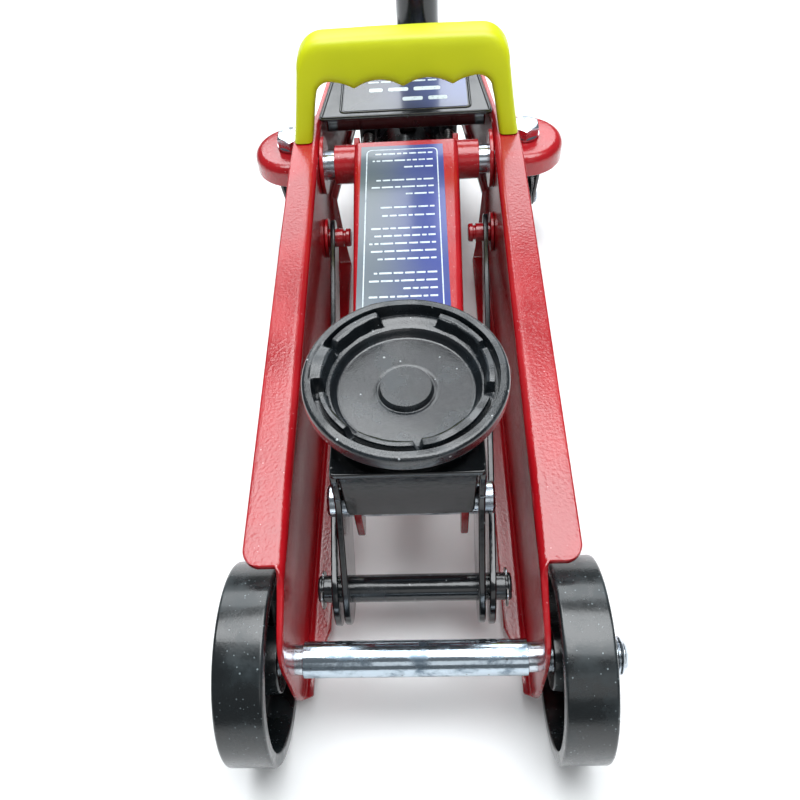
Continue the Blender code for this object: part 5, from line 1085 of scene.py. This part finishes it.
# ------------------------------------------------------------------ cover and carrying handle
def cover():
    """The cover: a plate with a notch for the socket, a bead round its edge and a framed panel."""
    front, rear, x = 0.303, 0.406, SOCKET[0]
    wide, narrow = web_outer(front) - 0.0015, web_outer(rear) - 0.0015
    notch = SOCKET[1] - 0.0185
    outline = soften([(wide, front), (narrow, rear), (x + 0.0175, rear), (x + 0.0175, notch),
                      (x - 0.0175, notch), (x - 0.0175, rear), (-narrow, rear), (-wide, front)],
                     [0.0045, 0.003, 0.002, 0.007, 0.007, 0.002, 0.003, 0.0045], 6)
    level_z = COVER_TOP - 0.0008
    plate = slab(outline, COVER_TOP - 0.0025, level_z, 0.0006)
    bead = inward(outline, 0.0016)
    path = np.column_stack([bead, np.full(len(bead), COVER_TOP - 0.0011)])
    lip = slab(rounded_box(-0.0480, 0.0480, front + 0.0003, front + 0.0026, 0.001), COVER_TOP - 0.0094,
               COVER_TOP - 0.0015, 0.0006)
    piece("cover", together(plate, lip), COVER_BLACK, FRAME_BODY, "cover_plate")
    piece("cover_bead", sweep(path, 0.0011, 10, True), COVER_BLACK, FRAME_BODY, finish=False)
    frame_path = inward(rounded_box(-0.0395, 0.0395, 0.3095, 0.3535, 0.003), 0.0)
    path = np.column_stack([frame_path, np.full(len(frame_path), COVER_TOP - 0.0010)])
    piece("panel_bead", sweep(path, 0.0009, 10, True), COVER_BLACK, FRAME_BODY, finish=False)
    film = slab(rounded_box(-0.0380, 0.0380, 0.3110, 0.3520, 0.002), level_z, level_z + 0.00015, 0.00005,
                rows=2)
    piece("cover_label", film, COVER_PRINT, FRAME_BODY, sharp=20, finish=False)
    ink = together(bars(0.026, -0.026, 0.3180, 0.3250, 1, 0.0042, 3),
                   bars(0.022, -0.022, 0.3290, 0.3360, 1, 0.0042, 5),
                   bars(0.020, -0.024, 0.3400, 0.3470, 2, 0.0018, 8))
    points, faces = ink
    piece("cover_label_ink", (points + [0.0, 0.0, level_z + 0.00016], faces), INK, FRAME_BODY, sharp=20,
          finish=False)


CARRY_Y, CARRY_HALF, CARRY_LEAN = 0.290, 0.0089, 0.32     # middle, half depth, lean back


def carry_shape():
    """A moulded loop: an outer and an inner line, and a rounded-square section between them.

    Both lines go up a leg, round a corner and along the bar. Under the bar the inner line
    is a row of finger rests: the height follows the size of a sine along the bar. The section
    is a superellipse of power five, as deep as the handle is thick.
    """
    foot = CREST_Z + 0.0006
    up = np.linspace(0.0, 1.0, 22)
    turn = np.linspace(0.0, pi / 2, 18)[1:]
    across = np.linspace(1.0, 0.0, 90)[1:]
    outer = np.concatenate([
        np.column_stack([0.0602 + 0.0050 * (1 - up) + 0.0006 * (1 - up) ** 4, foot + (0.1455 - foot) * up]),
        np.column_stack([0.0445 + 0.0157 * np.cos(turn), 0.1455 + 0.0155 * np.sin(turn)]),
        np.column_stack([0.0445 * across, 0.1610 + 0.0004 * (1 - across ** 2)])])
    bar = 0.042 * across
    wave = np.sqrt(np.sin(pi * bar / 0.028) ** 2 + 0.012) - 0.05
    rest = np.where(bar > 0.040, 1.0, np.clip(wave, 0.0, 1.0) ** 0.75)
    inner = np.concatenate([
        np.column_stack([0.0506 + 0.0040 * (1 - up) ** 0.8, foot + (0.1305 - foot) * up]),
        np.column_stack([0.0421 + 0.0085 * np.cos(turn), 0.1305 + 0.0085 * np.sin(turn)]),
        np.column_stack([bar, 0.1345 + 0.0045 * rest])])
    outer = np.concatenate([outer, outer[-2::-1] * [-1, 1]])
    inner = np.concatenate([inner, inner[-2::-1] * [-1, 1]])
    middle_, half = (outer + inner) / 2, (outer - inner) / 2
    t = np.linspace(0.0, 2 * pi, 44, endpoint=False)
    power = 2 / 4.6
    a = np.sign(np.cos(t)) * np.abs(np.cos(t)) ** power
    b = np.sign(np.sin(t)) * np.abs(np.sin(t)) ** power
    flat = middle_[:, None, :] + half[:, None, :] * a[None, :, None]
    y = CARRY_Y + CARRY_HALF * b[None, :] + CARRY_LEAN * (flat[..., 1] - CREST_Z)
    points = np.stack([flat[..., 0], y, flat[..., 1]], -1)
    faces = grid_faces(len(outer), 44, False, True)
    last = (len(outer) - 1) * 44
    return points.reshape(-1, 3), faces + [list(range(44)), list(range(last, last + 44))]


def carry_handle():
    piece("carry_loop", carry_shape(), YELLOW, FRAME_BODY, "carry_handle", sharp=60, finish=False)
    for name in ("left", "right"):
        at, low = centre("carry_screw_" + name), corner("carry_screw_" + name, 0)[2]
        screw = soften([(0.0, low), (0.0030, low + 0.0002), (0.0044, low + 0.0016), (0.0045, low + 0.003),
                        (0.0024, low + 0.003), (0.0024, low + 0.0165), (0.0012, low + 0.0185),
                        (0.0, low + 0.0185)], 0.0004, 3, False)
        piece("foot_screw_" + name, upright(lathe(screw, 40), at[0], at[1]), ZINC, FRAME_BODY,
              "carry_screw_" + name)


# ------------------------------------------------------------------ casters
def ear_shape():
    """A pressed cup: radius over the angle, and height over the distance in from that radius.

    Outside it is a circle drawn out straight to the side plate, inside a smaller circle.
    """
    t = np.linspace(0.0, 2 * pi, 144, endpoint=False)
    c, s = np.cos(t), np.abs(np.sin(t))
    root = 0.0176 / np.maximum(-c, 1e-6)
    side = 0.025 / np.maximum(s + 0.2286 * np.minimum(c, 0.0), 1e-6)
    outer = np.where(c >= 0, 0.025, np.minimum(root, side))
    smooth = np.convolve(np.concatenate([outer[-3:], outer, outer[:3]]), np.ones(7) / 7, "valid")
    outer = np.minimum(smooth, outer)
    inner = np.minimum(0.022, outer - 0.0016)
    top, low = corner("caster_ear_right", 1)[2], corner("caster_ear_right", 0)[2]
    bend = np.linspace(0.0, pi / 2, 9)
    rings = [(np.full_like(t, 0.0054), top - 0.0005), (np.full_like(t, 0.0058), top),
             (outer - 0.0115, top - 0.00005)]
    rings += [(outer - 0.0058 * (1 - np.sin(angle)), top - 0.0003 - 0.0055 * (1 - np.cos(angle)))
              for angle in bend]
    rings += [(outer, low + 0.0008), (outer - 0.0003, low + 0.0002), (outer - 0.0009, low), (inner, low + 0.0004),
              (inner, top - 0.0070), (inner - 0.0012, top - 0.0040), (inner - 0.004, top - 0.0031),
              (np.full_like(t, 0.0056), top - 0.0030), (np.full_like(t, 0.0054), top - 0.0026)]
    points = np.concatenate([np.stack([r * c, r * np.sin(t), np.full_like(t, z)], -1) for r, z in rings])
    return points, grid_faces(len(rings), len(t), True, True)


def casters():
    for name, side in (("left", -1), ("right", 1)):
        x, y = side * CASTER[0], CASTER[1]
        ear = on_side(ear_shape(), side)
        piece("ear_" + name, upright(ear, x, y), RED, FRAME_BODY, "caster_ear_" + name, sharp=50)
        head = hex_prism(0.0164, 0.0783, corner("caster_bolt_right", 1)[2], 0.0094)
        shank = lathe(soften([(0.0, 0.0772), (0.0050, 0.0772), (0.0050, 0.0510), (0.0, 0.0510)], 0.0004, 2,
                             False), 40)
        piece("king_bolt_" + name, upright(together(head, shank), x, y), ZINC, FRAME_BODY,
              "caster_bolt_" + name)
        low, high = corner("caster_nut_right", 0)[2], corner("caster_nut_right", 1)[2]
        nut = hex_prism(size("caster_nut_right")[1] * cos(pi / 6), low, high)
        piece("king_nut_" + name, upright(nut, x, y), ZINC, FRAME_BODY, "caster_nut_" + name)
        body = "caster_body_" + name
        top, sheet_t = 0.0605, 0.0025
        plate = lathe(soften([(0.0054, top - sheet_t), (0.0165, top - sheet_t), (0.0165, top), (0.0135, top),
                              (0.0135, 0.0732), (0.0054, 0.0732)], 0.0006, 3), 72, True)
        axle = CASTER_AXLE
        reach = axle[1] - CASTER[1]
        foot = arc(reach, axle[2], 0.0065, 190, 350, 18)
        outline = np.concatenate([foot, [(0.0125, top - 0.0005), (-0.0125, top - 0.0005)]])
        arms = [on_side(facing_x(slab(soften(outline, 0.002, 3), 0.0091, 0.0114, 0.0006)), hand)
                for hand in (-1, 1)]
        piece("fork_" + name, upright(together(plate, *arms), x, y), BLACK, body, "caster_fork_" + name)
        end = size("caster_axle_right")[0] / 2
        rivet = soften([(0.003, 0.0), (0.003, end - 0.0024), (0.005, end - 0.0024), (0.005, end - 0.001),
                        (0.003, end), (0.0, end)], 0.0005, 4, False)
        profile = np.concatenate([rivet[::-1], rivet[1:] * [1, -1]])
        piece("caster_rivet_" + name, along_x(lathe(profile, 40), axle[1], axle[2], 1, x), ZINC, body,
              "caster_axle_" + name)
        roller = soften([(0.020, -0.008), (0.020, 0.008), (0.0165, 0.008), (0.0155, 0.0062), (0.0075, 0.0062),
                         (0.0068, 0.008), (0.0034, 0.008), (0.0034, -0.008), (0.0068, -0.008),
                         (0.0075, -0.0062), (0.0155, -0.0062), (0.0165, -0.008)],
                        [0.003, 0.003, 0.0005, 0.0005, 0.0005, 0.0004, 0.0003, 0.0003, 0.0004, 0.0005,
                         0.0005, 0.0005], 6)
        piece("roller_" + name, along_x(lathe(roller, 96, True), axle[1], axle[2], side, x), WHEEL,
              "caster_wheel_body_" + name, "caster_wheel_" + name)


# ------------------------------------------------------------------ the solids that stay
def dress_solids():
    looks = {"red_paint": RED[0], "black_paint": BLACK[0], "black_cast": CAST[0], "zinc_plate": ZINC[0],
             "bare_steel": STEEL[0], "rubber": RUBBER[0], "black_plastic": COVER_BLACK[0],
             "yellow_plastic": YELLOW[0]}
    chosen = {"pump_block": "black_cast", "ram_head": "bare_steel", "release_key": "zinc_plate",
              "release_spindle": "zinc_plate"}
    for name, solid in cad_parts.items():
        if solid.hide_render:
            continue
        for slot in solid.material_slots:
            slot.material = looks[chosen.get(name, "zinc_plate")]


# ------------------------------------------------------------------ stage
def stage_look():
    made, tree, shader, at = start_look("pale_floor", 0.75, Emission_Strength=0.08)
    slow = place(tree, PATCHES, Vector=at, Scale=3.0, From=0.3, To=0.7, Detail=2.0)
    tree.links.new(tint(tree, slow.outputs["Mask"], (0.90, 0.90, 0.90), (0.93, 0.93, 0.93)),
                   shader.inputs["Base Color"])
    return made


def floor():
    """A level floor, a grid of points far wider than the jack."""
    x, y = np.meshgrid(np.linspace(-4, 4, 9), np.linspace(-4, 4, 9))
    mesh = bpy.data.meshes.new("floor")
    mesh.from_pydata(np.stack([x, y, np.full_like(x, -0.0002)], -1).reshape(-1, 3).tolist(), [],
                     grid_faces(9, 9))
    mesh.materials.append(stage_look())
    obj = bpy.data.objects.new("floor", mesh)
    bpy.context.scene.collection.objects.link(obj)


def lamp(name, at, aim, wide, deep, power, colour=(1.0, 1.0, 1.0)):
    light = bpy.data.lights.new(name, "AREA")
    light.shape, light.size, light.size_y = "RECTANGLE", wide, deep
    light.energy, light.color = power, colour
    obj = bpy.data.objects.new(name, light)
    obj.location = at
    obj.rotation_euler = (Vector(aim) - Vector(at)).to_track_quat("-Z", "Y").to_euler()
    bpy.context.scene.collection.objects.link(obj)


def lights():
    world = bpy.data.worlds.new("studio")
    bpy.context.scene.world = world
    world.use_nodes = True
    world.node_tree.nodes["Background"].inputs["Color"].default_value = (0.88, 0.95, 1.0, 1.0)
    world.node_tree.nodes["Background"].inputs["Strength"].default_value = 0.20
    lamp("top_soft", (0.1, 0.15, 1.7), (0.0, 0.0, 0.0), 1.6, 1.2, 44.0, (0.95, 0.98, 1.0))
    lamp("rear_soft", (-0.1, 1.5, 1.3), (0.0, 0.05, 0.05), 1.6, 0.8, 20.0, (0.93, 0.97, 1.0))
    lamp("front_soft", (0.25, -1.2, 0.9), (0.0, -0.05, 0.06), 0.9, 0.6, 1.5)


def camera():
    """The eye stands ahead of the jack and above it; turns are given in degrees."""
    yaw, pitch, roll = radians(-4.59), radians(51.51), radians(-5.37)
    ahead = Vector((sin(yaw) * cos(pitch), cos(yaw) * cos(pitch), -sin(pitch)))
    right = Vector((cos(yaw), -sin(yaw), 0.0))
    up = right.cross(ahead)
    tilted = cos(roll) * right + sin(roll) * up
    upright_ = -sin(roll) * right + cos(roll) * up
    data = bpy.data.cameras.new("camera")
    data.lens, data.sensor_width = 35.09, 36.0
    data.shift_x, data.shift_y = 0.01025, -0.0125
    data.clip_start = 0.02
    obj = bpy.data.objects.new("camera", data)
    turned_ = Matrix((tilted, upright_, -ahead)).transposed().to_4x4()
    turned_.translation = (0.0102, -0.3004, 0.3754)
    obj.matrix_world = turned_
    bpy.context.scene.collection.objects.link(obj)
    bpy.context.scene.camera = obj


ZINC_TUBE = (plated("tube_plating", (0.50, 0.58, 0.65), (0.16, 0.21, 0.26), 0.14, 0.34), "zinc_plate")
WORN_BLACK = (black_enamel("worn_enamel", (0.007, 0.009, 0.011), 0.18, 0.2, 500.0, 0.16), "black_paint")
ARM_PRINT = (label_print("arm_print", (0.085, 0.115, 0.140), (0.030, 0.050, 0.270), -0.022, 0.020),
             "black_paint")
COVER_PRINT = (label_print("cover_print", (0.030, 0.028, 0.032), (0.10, 0.13, 0.30), -0.03, 0.04),
               "black_plastic")
INK = (label_ink(), "black_paint")

side_plates()
front_axle()
lift_arm()
bracket()
saddle()
links_and_shaft()
power_unit()
handle_parts()
cover()
carry_handle()
casters()
dress_solids()
floor()
lights()
camera()
bpy.context.scene.view_settings.view_transform = "Standard"
